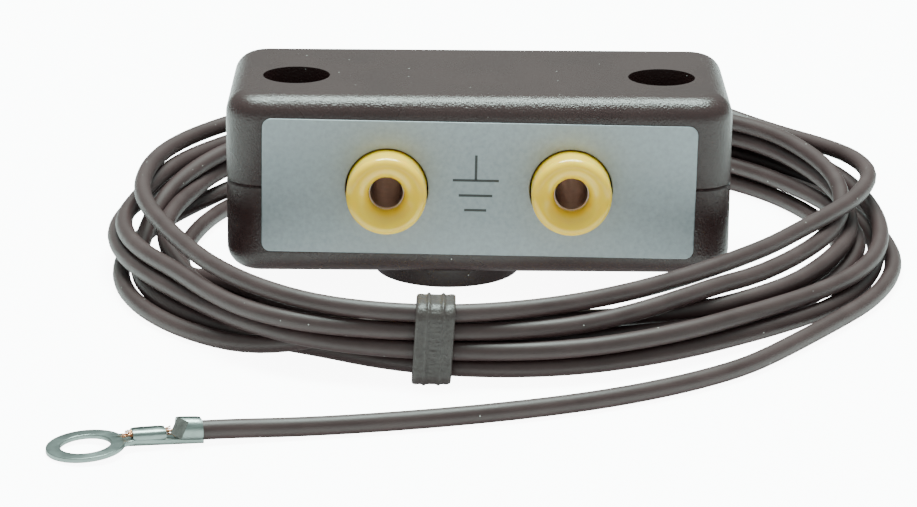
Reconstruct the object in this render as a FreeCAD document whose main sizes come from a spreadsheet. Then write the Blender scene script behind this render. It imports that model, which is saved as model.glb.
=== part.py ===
"""Two-jack grounding block with a coiled ground cord, as a parametric FreeCAD document.

Millimetres.  +X to the right, the labelled front faces -Y, +Z up.  The origin lies on the
surface that the block stands on, under the middle of the block with its two jacks.
"""
import FreeCAD, Part
import math
import os
import Sketcher
from FreeCAD import Placement, Rotation, Vector

doc = FreeCAD.newDocument("grounding_block")
sheet = doc.addObject("Spreadsheet::Sheet", "Sizes")

SIZES = (
    # casing
    ("block_width", 63.5, "casing, left to right"),
    ("block_depth", 28.2, "casing, front to back"),
    ("shell_rise", 11.5, "height of each shell"),
    ("foot_rise", 2.3, "underside of the lower shell above the bench, height of the snap boss"),
    ("wall", 2.0, "casing wall"),
    ("corner_round", 4.5, "upright corners"),
    ("edge_round", 2.9, "top and bottom edges"),
    ("seam_bevel", 0.22, "bevel on both lips of the seam"),
    # label
    ("label_width", 54.2, "front label"),
    ("label_height", 17.2, "front label"),
    ("label_thick", 0.3, "front label"),
    ("label_corner", 1.15, "rounded label corners"),
    ("label_turn", 0.75, "the label is stuck on a little crooked, degrees"),
    # jacks
    ("jack_offset", 11.5, "jack axis from the middle"),
    ("jack_standout", 3.2, "jack collar in front of the casing"),
    ("panel_hole_dia", 10.35, "hole for the jack collar"),
    ("collar_dia", 10.0, "front collar of the jack"),
    ("collar_length", 5.8, "front collar, crest to groove"),
    ("crest_round", 1.58, "outer rounding of the collar"),
    ("mouth_round", 1.18, "inner rounding of the collar"),
    ("mouth_dia", 4.4, "mouth of the insulator"),
    ("groove_dia", 7.6, "groove that the saddles hold"),
    ("groove_length", 2.0, "width of the groove"),
    ("rear_collar_dia", 9.6, "collar behind the groove"),
    ("rear_collar_length", 2.0, "collar behind the groove"),
    ("nose_dia", 7.0, "rear nose of the insulator"),
    ("insulator_length", 12.8, "crest to rear end"),
    ("sleeve_set_back", 1.5, "crest to the front of the metal sleeve"),
    ("sleeve_dia", 5.2, "metal sleeve, outside"),
    ("sleeve_bore", 4.1, "metal sleeve, bore for a 4 mm plug"),
    ("sleeve_length", 17.2, "metal sleeve"),
    ("sleeve_floor", 1.2, "closed rear end of the sleeve"),
    ("lug_thick", 0.6, "solder lugs"),
    ("lug_dia", 8.4, "round end of a jack lug"),
    ("lug_reach", 8.3, "jack axis to the tip of its lug"),
    ("lug_tab_width", 2.6, "tab of a lug"),
    ("washer_thick", 0.6, "lock washer"),
    ("washer_dia", 8.2, "lock washer"),
    ("nut_flats", 8.0, "jack nut across flats"),
    ("nut_thick", 2.4, "jack nut"),
    ("saddle_thick", 1.6, "saddle ribs"),
    # mounting holes
    ("hole_spacing", 46.4, "between the two mounting holes"),
    ("hole_back", 2.3, "mounting holes in front of the casing's middle"),
    ("hole_dia", 4.4, "through hole"),
    ("counterbore_dia", 8.5, "recess for the screw head"),
    ("counterbore_deep", 9.0, "recess for the screw head"),
    ("pillar_dia", 10.9, "pillar around a mounting hole"),
    # casing screws
    ("post_offset_x", 26.6, "casing screws from the middle"),
    ("post_front_y", -7.5, "front casing screws"),
    ("post_rear_y", 10.6, "rear casing screws"),
    ("post_dia", 6.6, "posts of the casing screws"),
    ("screw_dia", 2.2, "casing screw, thread"),
    ("screw_head_dia", 4.4, "casing screw, head"),
    ("screw_head_high", 1.6, "casing screw, head"),
    ("screw_length", 12.0, "casing screw under its head"),
    ("screw_recess", 5.6, "head recess above the casing's underside"),
    # snap socket under the casing
    ("snap_x", -3.9, "snap axis"),
    ("snap_boss_dia", 18.6, "boss under the casing"),
    ("snap_pad_top", 6.0, "top of the pad inside the casing"),
    ("snap_dia", 15.0, "metal socket, outside"),
    ("snap_bore", 10.1, "metal socket, bore for a 10 mm stud"),
    ("snap_deep", 3.2, "depth of the bore"),
    ("snap_crown", 0.8, "metal above the bore"),
    ("snap_lift", 0.2, "socket above the bench"),
    ("spring_wire", 0.7, "spring wire"),
    ("spring_high", 1.9, "spring above the bench"),
    ("eyelet_dia", 3.9, "eyelet shank"),
    ("eyelet_bore", 3.2, "eyelet, inside"),
    ("eyelet_head_dia", 6.6, "eyelet head, sunk into the socket's crown"),
    ("eyelet_head_thick", 0.4, "eyelet head"),
    ("eyelet_roll_dia", 5.4, "rolled upper end of the eyelet"),
    # cord
    ("cord_dia", 2.2, "ground cord"),
    ("bushing_reach", 3.6, "bushing behind the casing"),
    ("bushing_hole_dia", 4.6, "hole for the bushing"),
    ("jumper_dia", 0.9, "tinned link wire"),
    ("snap_wire_dia", 1.4, "insulated snap wire"),
    ("core_dia", 0.9, "stranded copper core"),
    # coil
    ("coil_x", 3.4, "middle of the coil's outline"),
    ("coil_y", 1.3, "middle of the coil's outline"),
    ("coil_half_x", 52.0, "coil's outline, half width"),
    ("coil_half_y", 48.8, "coil's outline, half depth"),
    ("eye_x", 1.5, "middle of the coil's eye"),
    ("eye_y", -4.2, "middle of the coil's eye"),
    ("eye_half_x", 40.0, "coil's eye, half width"),
    ("eye_half_y", 38.3, "coil's eye, half depth"),
    ("coil_front_top", 9.9, "coil's height at the front"),
    ("coil_back_top", 12.4, "coil's height at the back"),
    ("tie_round", 1.8, "rounded corners of the tie's loop"),
    # tie
    ("tie_x", -5.8, "tie from the middle"),
    ("tie_width", 4.6, "tie strip"),
    ("tie_thick", 0.6, "tie strip"),
    # ring terminal
    ("ring_x", -43.3, "ring centre"),
    ("ring_y", -69.7, "ring centre"),
    ("ring_turn", 13.7, "ring terminal's direction, degrees"),
    ("ring_dia", 9.4, "ring"),
    ("ring_hole", 5.3, "stud hole"),
    ("ring_thick", 0.8, "sheet of the terminal"),
    ("barrel_start", 5.2, "ring centre to the wire barrel"),
    ("barrel_end", 8.9, "ring centre to the barrel's rear end"),
    ("grip_start", 9.7, "ring centre to the insulation grip"),
    ("grip_end", 12.6, "ring centre to the grip's rear end"),
    ("grip_wall", 0.35, "rolled wall of the grip"),
)
for row, (alias, size, meaning) in enumerate(SIZES, start=1):
    sheet.set(f"A{row}", meaning)
    sheet.set(f"B{row}", str(size))
    sheet.setAlias(f"B{row}", alias)
doc.recompute()

# Places that several pieces share, as expressions on the sheet.
FRONT_Y = "(Sizes.jack_standout - Sizes.block_depth) / 2"
REAR_Y = "(Sizes.jack_standout + Sizes.block_depth) / 2"
SEAM_Z = "(Sizes.foot_rise + Sizes.shell_rise)"
TOP_Z = "(Sizes.foot_rise + 2 * Sizes.shell_rise)"
HOLE_Y = "(Sizes.jack_standout / 2 - Sizes.hole_back)"
CREST_Y = f"({FRONT_Y} - Sizes.jack_standout)"
GROOVE_Y = f"({CREST_Y} + Sizes.collar_length)"
LUG_Y = f"({CREST_Y} + Sizes.insulator_length)"

UP = Rotation()
BACKWARD = Rotation(Vector(1, 0, 0), -90)
RIGHTWARD = Rotation(Vector(0, 1, 0), 90)
SIDES = {"left": -1, "right": 1}
nodes = []


def value(expression):
    """The number that an expression on the sheet gives."""
    result = sheet.evalExpression(expression)
    return float(getattr(result, "Value", result))


def node(obj, label):
    """Marks an object as a finished sub-part and names it."""
    obj.Label = label
    nodes.append(obj)
    return obj


def primitive(kind, at=("0", "0", "0"), turn=UP, **sizes):
    """A Part primitive whose sizes and place are bound to expressions."""
    obj = doc.addObject(f"Part::{kind}", kind)
    obj.Placement = Placement(Vector(), turn)
    for name, expression in sizes.items():
        obj.setExpression(name, expression)
    for letter, expression in zip("xyz", at):
        obj.setExpression(f"Placement.Base.{letter}", expression)
    return obj


def fuse(*objects):
    obj = doc.addObject("Part::MultiFuse", "Fusion")
    obj.Shapes = list(objects)
    return obj


def cut(base, *tools):
    obj = doc.addObject("Part::Cut", "Cut")
    obj.Base = base
    obj.Tool = tools[0] if len(tools) == 1 else fuse(*tools)
    return obj


def eased(kind, base, alias, chosen):
    """A Part::Fillet or Part::Chamfer on the edges for which chosen(edge) is true."""
    doc.recompute()
    size = value(f"Sizes.{alias}")
    picked = [i for i, edge in enumerate(base.Shape.Edges, start=1) if chosen(edge)]
    obj = doc.addObject(f"Part::{kind}", kind)
    obj.Base = base
    obj.Edges = [(i, size, size) for i in picked]
    return obj


def upright(edge):
    box = edge.BoundBox
    return box.ZLength > 1 and box.XLength < 0.01 and box.YLength < 0.01


def level(height):
    """Chooses the edges that lie flat at one height."""
    return lambda edge: abs(edge.BoundBox.ZMin - height) < 0.01 and edge.BoundBox.ZLength < 0.01


def outline_sketch(body, corners):
    """A closed sketch on the body's XZ plane, each corner bound to (radius, length)."""
    sketch = body.newObject("Sketcher::SketchObject", "Outline")
    plane = next(f for f in body.Origin.OriginFeatures if f.Role == "XZ_Plane")
    sketch.AttachmentSupport = [(plane, "")]
    sketch.MapMode = "FlatFace"
    places = [Vector(value(x), value(y), 0) for x, y in corners]
    for start, end in zip(places, places[1:] + places[:1]):
        sketch.addGeometry(Part.LineSegment(start, end), False)
    for i in range(len(places)):
        sketch.addConstraint(Sketcher.Constraint("Coincident", i, 2, (i + 1) % len(places), 1))
    for i, (place, corner) in enumerate(zip(places, corners)):
        for letter, number, expression, axis in (
            ("X", place.x, corner[0], -2),
            ("Y", place.y, corner[1], -1),
        ):
            if abs(number) < 1e-9:
                sketch.addConstraint(Sketcher.Constraint("PointOnObject", i, 1, axis))
                continue
            rule = Sketcher.Constraint(f"Distance{letter}", -1, 1, i, 1, number)
            k = sketch.addConstraint(rule)
            sketch.setExpression(f"Constraints[{k}]", expression)
    return sketch


def turned(corners, at, turn, rounds=()):
    """A turned piece: corners as (radius, length) expressions, revolved about its own +Z."""
    body = doc.addObject("PartDesign::Body", "Turned")
    sketch = outline_sketch(body, corners)
    turning = body.newObject("PartDesign::Revolution", "Revolution")
    turning.Profile = sketch
    turning.ReferenceAxis = (sketch, ["V_Axis"])
    turning.Angle = 360
    body.Tip = turning
    doc.recompute()
    for alias, radius, height in rounds:
        wanted = (value(radius), value(height))
        names = []
        for i, edge in enumerate(turning.Shape.Edges, start=1):
            curve = edge.Curve
            round_edge = isinstance(curve, Part.Circle)
            if round_edge and math.dist((curve.Radius, curve.Center.z), wanted) < 0.01:
                names.append(f"Edge{i}")
        fillet = body.newObject("PartDesign::Fillet", "Fillet")
        fillet.Base = (turning, names)
        fillet.setExpression("Radius", f"Sizes.{alias}")
        body.Tip = fillet
        doc.recompute()
        turning = fillet
    body.Placement = Placement(Vector(), turn)
    for letter, expression in zip("xyz", at):
        body.setExpression(f"Placement.Base.{letter}", expression)
    return body


def rounded_path(points):
    """Straight runs joined by tangent arcs; each arc uses 0.45 of its shorter run."""
    edges = []
    radii = []
    last = points[0]
    for before, corner, after in zip(points, points[1:], points[2:]):
        back = (before - corner)
        ahead = (after - corner)
        reach = 0.45 * min(back.Length, ahead.Length)
        turn = math.pi - back.getAngle(ahead)
        back.normalize()
        ahead.normalize()
        start = corner + back * reach
        end = corner + ahead * reach
        bisector = back + ahead
        bisector.normalize()
        radius = reach / math.tan(turn / 2)
        rise = radius / math.cos(turn / 2) - radius
        edges.append(Part.LineSegment(last, start).toShape())
        edges.append(Part.Arc(start, corner + bisector * rise, end).toShape())
        radii.append(radius)
        last = end
    edges.append(Part.LineSegment(last, points[-1]).toShape())
    return Part.Wire(edges), radii


def tube(label, points, alias):
    """A round wire or cord of one diameter along a path of runs and arcs."""
    diameter = value(f"Sizes.{alias}")
    path, radii = rounded_path([Vector(*p) for p in points])
    start = path.Edges[0]
    heading = start.tangentAt(start.FirstParameter)
    ring = Part.Wire(Part.makeCircle(diameter / 2, Vector(*points[0]), heading))
    solid = path.makePipeShell([ring], True, False)
    expected = math.pi * diameter ** 2 / 4 * path.Length
    print(label, "length", round(path.Length, 1), "tightest", round(min(radii), 1),
          "volume error", round(abs(solid.Volume / expected - 1), 4))
    obj = doc.addObject("Part::Feature", label)
    obj.Shape = solid
    return node(obj, label)


# ---------------------------------------------------------------- casing shells
def shell_blank(bottom, outer_height):
    """A rounded block of one shell's outer size, its outer edges rounded, its seam lip bevelled."""
    block = primitive(
        "Box",
        ("-Sizes.block_width / 2", FRONT_Y, bottom),
        Length="Sizes.block_width",
        Width="Sizes.block_depth",
        Height="Sizes.shell_rise",
    )
    rounded = eased("Fillet", block, "corner_round", upright)
    seam = value(SEAM_Z)
    outer = value(outer_height)
    with_edge = eased("Fillet", rounded, "edge_round", level(outer))
    return eased("Chamfer", with_edge, "seam_bevel", level(seam))


def shell_cavity(bottom):
    """The room inside a shell."""
    block = primitive(
        "Box",
        ("-Sizes.block_width / 2 + Sizes.wall", f"{FRONT_Y} + Sizes.wall", bottom),
        Length="Sizes.block_width - 2 * Sizes.wall",
        Width="Sizes.block_depth - 2 * Sizes.wall",
        Height="Sizes.shell_rise - Sizes.wall",
    )
    return eased("Fillet", block, "edge_round", upright)


def jack_places():
    return [f"{side} * Sizes.jack_offset" for side in SIDES.values()]


def pillars(bottom, height):
    """The two pillars around the mounting holes."""
    return [
        primitive(
            "Cylinder",
            (f"{side} * Sizes.hole_spacing / 2", HOLE_Y, bottom),
            Radius="Sizes.pillar_dia / 2",
            Height=height,
        )
        for side in SIDES.values()
    ]


def post_places():
    return [
        (f"{side} * Sizes.post_offset_x", f"Sizes.{row}")
        for side in SIDES.values()
        for row in ("post_front_y", "post_rear_y")
    ]


def upright_cylinders(places, bottom, radius, height):
    return [
        primitive("Cylinder", (x, y, bottom), Radius=radius, Height=height)
        for x, y in places
    ]


def saddles(bottom, height):
    """The rib behind the front wall that holds the grooves of both jacks."""
    return primitive(
        "Box",
        (
            "-Sizes.jack_offset - Sizes.collar_dia / 2 - 2",
            f"{GROOVE_Y} + (Sizes.groove_length - Sizes.saddle_thick) / 2",
            bottom,
        ),
        Length="2 * Sizes.jack_offset + Sizes.collar_dia + 4",
        Width="Sizes.saddle_thick",
        Height=height,
    )


def seam_openings():
    """Round holes centred on the seam: two for jack collars, two for grooves, one for the cord."""
    tools = []
    for x in jack_places():
        tools.append(primitive(
            "Cylinder", (x, f"{FRONT_Y} - 1", SEAM_Z), BACKWARD,
            Radius="Sizes.panel_hole_dia / 2", Height="Sizes.wall + 1.2",
        ))
        tools.append(primitive(
            "Cylinder", (x, f"{GROOVE_Y} - 0.5", SEAM_Z), BACKWARD,
            Radius="Sizes.groove_dia / 2 + 0.1", Height="Sizes.groove_length + 1",
        ))
    tools.append(primitive(
        "Cylinder", ("0", f"{REAR_Y} - Sizes.wall - 0.5", SEAM_Z), BACKWARD,
        Radius="Sizes.bushing_hole_dia / 2", Height="Sizes.wall + 1",
    ))
    return tools


hole_places = [(f"{side} * Sizes.hole_spacing / 2", HOLE_Y) for side in SIDES.values()]

upper_room = cut(
    shell_cavity(SEAM_Z),
    *pillars(SEAM_Z, "Sizes.shell_rise"),
    *upright_cylinders(post_places(), SEAM_Z, "Sizes.post_dia / 2", "Sizes.shell_rise"),
    saddles(SEAM_Z, "Sizes.shell_rise"),
)
upper_shell = node(cut(
    shell_blank(SEAM_Z, TOP_Z),
    upper_room,
    *upright_cylinders(hole_places, f"{SEAM_Z} - 1", "Sizes.hole_dia / 2", "Sizes.shell_rise + 2"),
    *upright_cylinders(
        hole_places, f"{TOP_Z} - Sizes.counterbore_deep",
        "Sizes.counterbore_dia / 2", "Sizes.counterbore_deep + 1",
    ),
    *upright_cylinders(
        post_places(), f"{SEAM_Z} - 1", "Sizes.screw_dia / 2", "Sizes.shell_rise - Sizes.wall + 0.4",
    ),
    *seam_openings(),
), "upper_shell")

floor_top = "(Sizes.foot_rise + Sizes.wall)"
snap_place = [("Sizes.snap_x", HOLE_Y)]
lower_room = cut(
    shell_cavity(floor_top),
    *pillars("Sizes.foot_rise", "Sizes.shell_rise + 1"),
    *upright_cylinders(
        post_places(), "Sizes.foot_rise", "Sizes.post_dia / 2", "Sizes.shell_rise + 1",
    ),
    saddles("Sizes.foot_rise", "Sizes.shell_rise + 1"),
    *upright_cylinders(
        snap_place, "Sizes.foot_rise", "Sizes.snap_boss_dia / 2", "Sizes.snap_pad_top - Sizes.foot_rise",
    ),
)
snap_boss = eased(
    "Fillet",
    upright_cylinders(snap_place, "0", "Sizes.snap_boss_dia / 2", "Sizes.foot_rise + 1")[0],
    "seam_bevel",
    level(0),
)
lower_shell = node(cut(
    fuse(shell_blank("Sizes.foot_rise", "Sizes.foot_rise"), snap_boss),
    lower_room,
    *upright_cylinders(hole_places, "Sizes.foot_rise - 1", "Sizes.hole_dia / 2", "Sizes.shell_rise + 2"),
    *upright_cylinders(
        post_places(), "Sizes.foot_rise - 1", "Sizes.screw_head_dia / 2 + 0.3", "Sizes.screw_recess + 1",
    ),
    *upright_cylinders(
        post_places(), "Sizes.foot_rise - 1", "Sizes.screw_dia / 2 + 0.2", "Sizes.shell_rise + 2",
    ),
    *upright_cylinders(
        snap_place, "-1", "Sizes.snap_dia / 2 + 0.05",
        "1 + Sizes.snap_lift + Sizes.snap_deep + Sizes.snap_crown",
    ),
    *upright_cylinders(snap_place, "0", "Sizes.eyelet_dia / 2 + 0.05", "Sizes.snap_pad_top + 1"),
    *seam_openings(),
), "lower_shell")


# ---------------------------------------------------------------- front label
label_plate = primitive(
    "Box",
    ("-Sizes.label_width / 2", "-Sizes.label_thick", "-Sizes.label_height / 2"),
    Length="Sizes.label_width",
    Width="Sizes.label_thick",
    Height="Sizes.label_height",
)
label_rounded = eased(
    "Fillet", label_plate, "label_corner",
    lambda edge: edge.BoundBox.YLength > 0.1 and edge.BoundBox.XLength < 0.01,
)
label_stuck_on = doc.addObject("Part::Compound", "LabelStuckOn")
label_stuck_on.Links = [label_rounded]
label_stuck_on.Placement = Placement(Vector(), Rotation(Vector(0, 1, 0), value("Sizes.label_turn")))
label_stuck_on.setExpression("Placement.Base.y", FRONT_Y)
label_stuck_on.setExpression("Placement.Base.z", SEAM_Z)
node(cut(
    label_stuck_on,
    *[
        primitive(
            "Cylinder", (x, f"{FRONT_Y} - 1", SEAM_Z), BACKWARD,
            Radius="Sizes.panel_hole_dia / 2", Height="2",
        )
        for x in jack_places()
    ],
), "front_label")


# ---------------------------------------------------------------- jacks
def jack(side_name, side):
    """One 4 mm jack: insulator, metal sleeve, solder lug, lock washer and nut."""
    x = f"{side} * Sizes.jack_offset"
    groove_end = "(Sizes.collar_length + Sizes.groove_length)"
    rear_end = f"({groove_end} + Sizes.rear_collar_length)"
    node(turned(
        [
            ("Sizes.mouth_dia / 2", "0"),
            ("Sizes.collar_dia / 2", "0"),
            ("Sizes.collar_dia / 2", "Sizes.collar_length"),
            ("Sizes.groove_dia / 2", "Sizes.collar_length"),
            ("Sizes.groove_dia / 2", groove_end),
            ("Sizes.rear_collar_dia / 2", groove_end),
            ("Sizes.rear_collar_dia / 2", rear_end),
            ("Sizes.nose_dia / 2", rear_end),
            ("Sizes.nose_dia / 2", "Sizes.insulator_length"),
            ("Sizes.sleeve_dia / 2 + 0.05", "Sizes.insulator_length"),
            ("Sizes.sleeve_dia / 2 + 0.05", "Sizes.sleeve_set_back"),
            ("Sizes.mouth_dia / 2", "Sizes.sleeve_set_back"),
        ],
        (x, CREST_Y, SEAM_Z), BACKWARD,
        rounds=(
            ("crest_round", "Sizes.collar_dia / 2", "0"),
            ("mouth_round", "Sizes.mouth_dia / 2", "0"),
        ),
    ), f"jack_insulator_{side_name}")
    node(turned(
        [
            ("Sizes.sleeve_bore / 2", "0"),
            ("Sizes.sleeve_dia / 2", "0"),
            ("Sizes.sleeve_dia / 2", "Sizes.sleeve_length"),
            ("0", "Sizes.sleeve_length"),
            ("0", "Sizes.sleeve_length - Sizes.sleeve_floor"),
            ("Sizes.sleeve_bore / 2", "Sizes.sleeve_length - Sizes.sleeve_floor"),
        ],
        (x, f"{CREST_Y} + Sizes.sleeve_set_back", SEAM_Z), BACKWARD,
    ), f"jack_contact_{side_name}")
    eye = primitive(
        "Cylinder", (x, LUG_Y, SEAM_Z), BACKWARD,
        Radius="Sizes.lug_dia / 2", Height="Sizes.lug_thick",
    )
    tab = primitive(
        "Box", (f"{x} - Sizes.lug_tab_width / 2", LUG_Y, SEAM_Z),
        Length="Sizes.lug_tab_width", Width="Sizes.lug_thick", Height="Sizes.lug_reach",
    )
    wire_holes = [
        primitive(
            "Cylinder", (x, f"{LUG_Y} - 1", f"{SEAM_Z} + Sizes.lug_reach - {drop}"), BACKWARD,
            Radius="Sizes.core_dia / 2 + 0.05", Height="3",
        )
        for drop in ("1.2", "3.1")
    ]
    bore = primitive(
        "Cylinder", (x, f"{LUG_Y} - 1", SEAM_Z), BACKWARD,
        Radius="Sizes.sleeve_dia / 2 + 0.05", Height="3",
    )
    node(cut(fuse(eye, tab), bore, *wire_holes), f"jack_lug_{side_name}")
    washer_y = f"({LUG_Y} + Sizes.lug_thick)"
    washer = primitive(
        "Cylinder", (x, washer_y, SEAM_Z), BACKWARD,
        Radius="Sizes.washer_dia / 2", Height="Sizes.washer_thick",
    )
    washer_bore = primitive(
        "Cylinder", (x, f"{washer_y} - 1", SEAM_Z), BACKWARD,
        Radius="Sizes.sleeve_dia / 2 + 0.15", Height="3",
    )
    split = primitive(
        "Box", (f"{x} - 0.3", f"{washer_y} - 1", f"{SEAM_Z} - Sizes.washer_dia"),
        Length="0.6", Width="3", Height="Sizes.washer_dia",
    )
    node(cut(washer, washer_bore, split), f"jack_washer_{side_name}")
    nut_y = f"({washer_y} + Sizes.washer_thick)"
    nut = primitive(
        "Prism", (x, nut_y, SEAM_Z), BACKWARD,
        Circumradius="Sizes.nut_flats / sqrt(3)", Height="Sizes.nut_thick",
    )
    nut.Polygon = 6
    nut_bore = primitive(
        "Cylinder", (x, f"{nut_y} - 1", SEAM_Z), BACKWARD,
        Radius="Sizes.sleeve_dia / 2 + 0.02", Height="Sizes.nut_thick + 2",
    )
    node(cut(nut, nut_bore), f"jack_nut_{side_name}")


for side_name, side in SIDES.items():
    jack(side_name, side)


# ---------------------------------------------------------------- wiring inside the casing
offset = value("Sizes.jack_offset")
lug_y = value(LUG_Y)
seam_z = value(SEAM_Z)
link_z = seam_z + value("Sizes.lug_reach") - 1.2
joint_z = seam_z + value("Sizes.lug_reach") - 3.1
behind_lug_y = lug_y + 2.2
before_lug_y = lug_y - 0.7
tube("link_wire", [
    (-offset, before_lug_y, link_z),
    (-offset, behind_lug_y, link_z),
    (offset, behind_lug_y, link_z),
    (offset, before_lug_y, link_z),
], "jumper_dia")
tube("cord_inside", [
    (0, value(REAR_Y), seam_z),
    (0, 10.0, seam_z),
    (-5.4, 6.2, seam_z + 2.8),
    (-10.6, 3.6, joint_z - 0.2),
    (-offset, 0.2, joint_z),
], "cord_dia")
tube("cord_core", [
    (-offset, -0.15, joint_z),
    (-offset, -1.5, joint_z + 0.05),
    (-offset, before_lug_y, joint_z),
], "core_dia")


# ---------------------------------------------------------------- snap socket
snap_at = ("Sizes.snap_x", HOLE_Y)
bore_top = "Sizes.snap_deep"
head_seat = "(Sizes.snap_deep + Sizes.eyelet_head_thick + 0.05)"
spring_low = "(Sizes.spring_high - Sizes.snap_lift - Sizes.spring_wire / 2 - 0.05)"
spring_top = "(Sizes.spring_high - Sizes.snap_lift + Sizes.spring_wire / 2 + 0.05)"
node(turned(
    [
        ("Sizes.snap_bore / 2", "0"),
        ("Sizes.snap_dia / 2", "0"),
        ("Sizes.snap_dia / 2", "Sizes.snap_deep + Sizes.snap_crown"),
        ("Sizes.eyelet_dia / 2 + 0.02", "Sizes.snap_deep + Sizes.snap_crown"),
        ("Sizes.eyelet_dia / 2 + 0.02", head_seat),
        ("Sizes.eyelet_head_dia / 2 + 0.05", head_seat),
        ("Sizes.eyelet_head_dia / 2 + 0.05", bore_top),
        ("Sizes.snap_bore / 2", bore_top),
        ("Sizes.snap_bore / 2", spring_top),
        ("Sizes.snap_bore / 2 + Sizes.spring_wire + 0.15", spring_top),
        ("Sizes.snap_bore / 2 + Sizes.spring_wire + 0.15", spring_low),
        ("Sizes.snap_bore / 2", spring_low),
    ],
    (*snap_at, "Sizes.snap_lift"), UP,
), "snap_socket")
spring_ring = primitive(
    "Torus", (*snap_at, "Sizes.spring_high"),
    Radius1="Sizes.snap_bore / 2 + Sizes.spring_wire / 2 + 0.08",
    Radius2="Sizes.spring_wire / 2",
)
spring_gap = primitive(
    "Box", ("Sizes.snap_x - 0.8", HOLE_Y, "0"),
    Length="1.6", Width="Sizes.snap_dia", Height="4",
)
node(cut(spring_ring, spring_gap), "snap_spring")
eyelet_low = "(Sizes.snap_lift + Sizes.snap_deep + 0.03)"
eyelet_shank = f"(Sizes.snap_pad_top + Sizes.lug_thick - {eyelet_low})"
node(turned(
    [
        ("Sizes.eyelet_bore / 2", "0"),
        ("Sizes.eyelet_head_dia / 2", "0"),
        ("Sizes.eyelet_head_dia / 2", "Sizes.eyelet_head_thick"),
        ("Sizes.eyelet_dia / 2", "Sizes.eyelet_head_thick"),
        ("Sizes.eyelet_dia / 2", eyelet_shank),
        ("Sizes.eyelet_roll_dia / 2", eyelet_shank),
        ("Sizes.eyelet_roll_dia / 2", f"{eyelet_shank} + 0.4"),
        ("Sizes.eyelet_bore / 2", f"{eyelet_shank} + 0.4"),
    ],
    (*snap_at, eyelet_low), UP,
), "snap_eyelet")
snap_eye = primitive(
    "Cylinder", (*snap_at, "Sizes.snap_pad_top"), Radius="3.8", Height="Sizes.lug_thick",
)
snap_tab = primitive(
    "Box", ("Sizes.snap_x", f"{HOLE_Y} - Sizes.lug_tab_width / 2", "Sizes.snap_pad_top"),
    Length="7.6", Width="Sizes.lug_tab_width", Height="Sizes.lug_thick",
)
snap_tab_hole = primitive(
    "Cylinder", ("Sizes.snap_x + 6.2", HOLE_Y, "Sizes.snap_pad_top - 1"),
    Radius="Sizes.snap_wire_dia / 2 + 0.05", Height="3",
)
snap_eye_hole = primitive(
    "Cylinder", (*snap_at, "Sizes.snap_pad_top - 1"),
    Radius="Sizes.eyelet_dia / 2 + 0.02", Height="3",
)
node(cut(fuse(snap_eye, snap_tab), snap_eye_hole, snap_tab_hole), "snap_lug")
tab_x = value("Sizes.snap_x") + 6.2
tab_y = value(HOLE_Y)
pad_z = value("Sizes.snap_pad_top")
tube("snap_wire", [
    (tab_x, tab_y, pad_z + 0.1),
    (tab_x, tab_y, pad_z + 2.3),
    (tab_x + 0.6, tab_y + 2.4, pad_z + 4.6),
    (tab_x + 2.4, tab_y + 5.2, pad_z + 7.0),
    (offset - 3.0, 5.6, joint_z - 3.6),
    (offset - 0.6, 3.2, joint_z - 0.6),
    (offset, 0.2, joint_z),
], "snap_wire_dia")
tube("snap_wire_core", [
    (offset, -0.15, joint_z),
    (offset, -1.5, joint_z + 0.05),
    (offset, before_lug_y, joint_z),
], "core_dia")


# ---------------------------------------------------------------- casing screws
def casing_screw(x, y):
    head = primitive(
        "Cylinder", (x, y, "Sizes.foot_rise + Sizes.screw_recess - Sizes.screw_head_high"),
        Radius="Sizes.screw_head_dia / 2", Height="Sizes.screw_head_high",
    )
    shank = primitive(
        "Cylinder", (x, y, "Sizes.foot_rise + Sizes.screw_recess - 0.5"),
        Radius="Sizes.screw_dia / 2 - 0.02", Height="Sizes.screw_length + 0.5",
    )
    low = "Sizes.foot_rise + Sizes.screw_recess - Sizes.screw_head_high - 0.1"
    slots = [
        primitive(
            "Box", (f"{x} - {length} / 2", f"{y} - {width} / 2", low),
            Length=length, Width=width, Height="0.9",
        )
        for length, width in (("2.6", "0.6"), ("0.6", "2.6"))
    ]
    return cut(fuse(head, shank), *slots)


screws = doc.addObject("Part::Compound", "CasingScrews")
screws.Links = [casing_screw(x, y) for x, y in post_places()]
node(screws, "shell_screws")


# ---------------------------------------------------------------- cord bushing
node(turned(
    [
        ("Sizes.cord_dia / 2 + 0.02", "0"),
        ("3.3", "0"),
        ("3.3", "1.3"),
        ("Sizes.bushing_hole_dia / 2 - 0.05", "1.3"),
        ("Sizes.bushing_hole_dia / 2 - 0.05", "1.4 + Sizes.wall"),
        ("2.9", "1.4 + Sizes.wall"),
        ("1.7", "1.4 + Sizes.wall + Sizes.bushing_reach"),
        ("Sizes.cord_dia / 2 + 0.02", "1.4 + Sizes.wall + Sizes.bushing_reach"),
    ],
    ("0", f"{REAR_Y} - Sizes.wall - 1.35", SEAM_Z), BACKWARD,
), "cord_bushing")


# ---------------------------------------------------------------- free cord
LEAD = [
    (0.0, 15.7, 13.8),
    (0.0, 22.9, 13.8),
    (2.8, 29.2, 13.6),
    (7.6, 33.0, 13.2),
]
TAIL = [
    (34.5, -39.1, 1.1),
    (29.6, -44.6, 1.1),
    (22.0, -50.4, 1.1),
    (12.9, -55.4, 1.1),
    (2.2, -59.4, 1.1),
    (-9.0, -62.5, 1.1),
    (-20.1, -64.7, 1.1),
    (-29.7, -66.4, 1.45),
    (-33.6, -67.35, 1.45),
]
tube("cord_lead", LEAD, "cord_dia")
tube("cord_tail", TAIL, "cord_dia")


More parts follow.
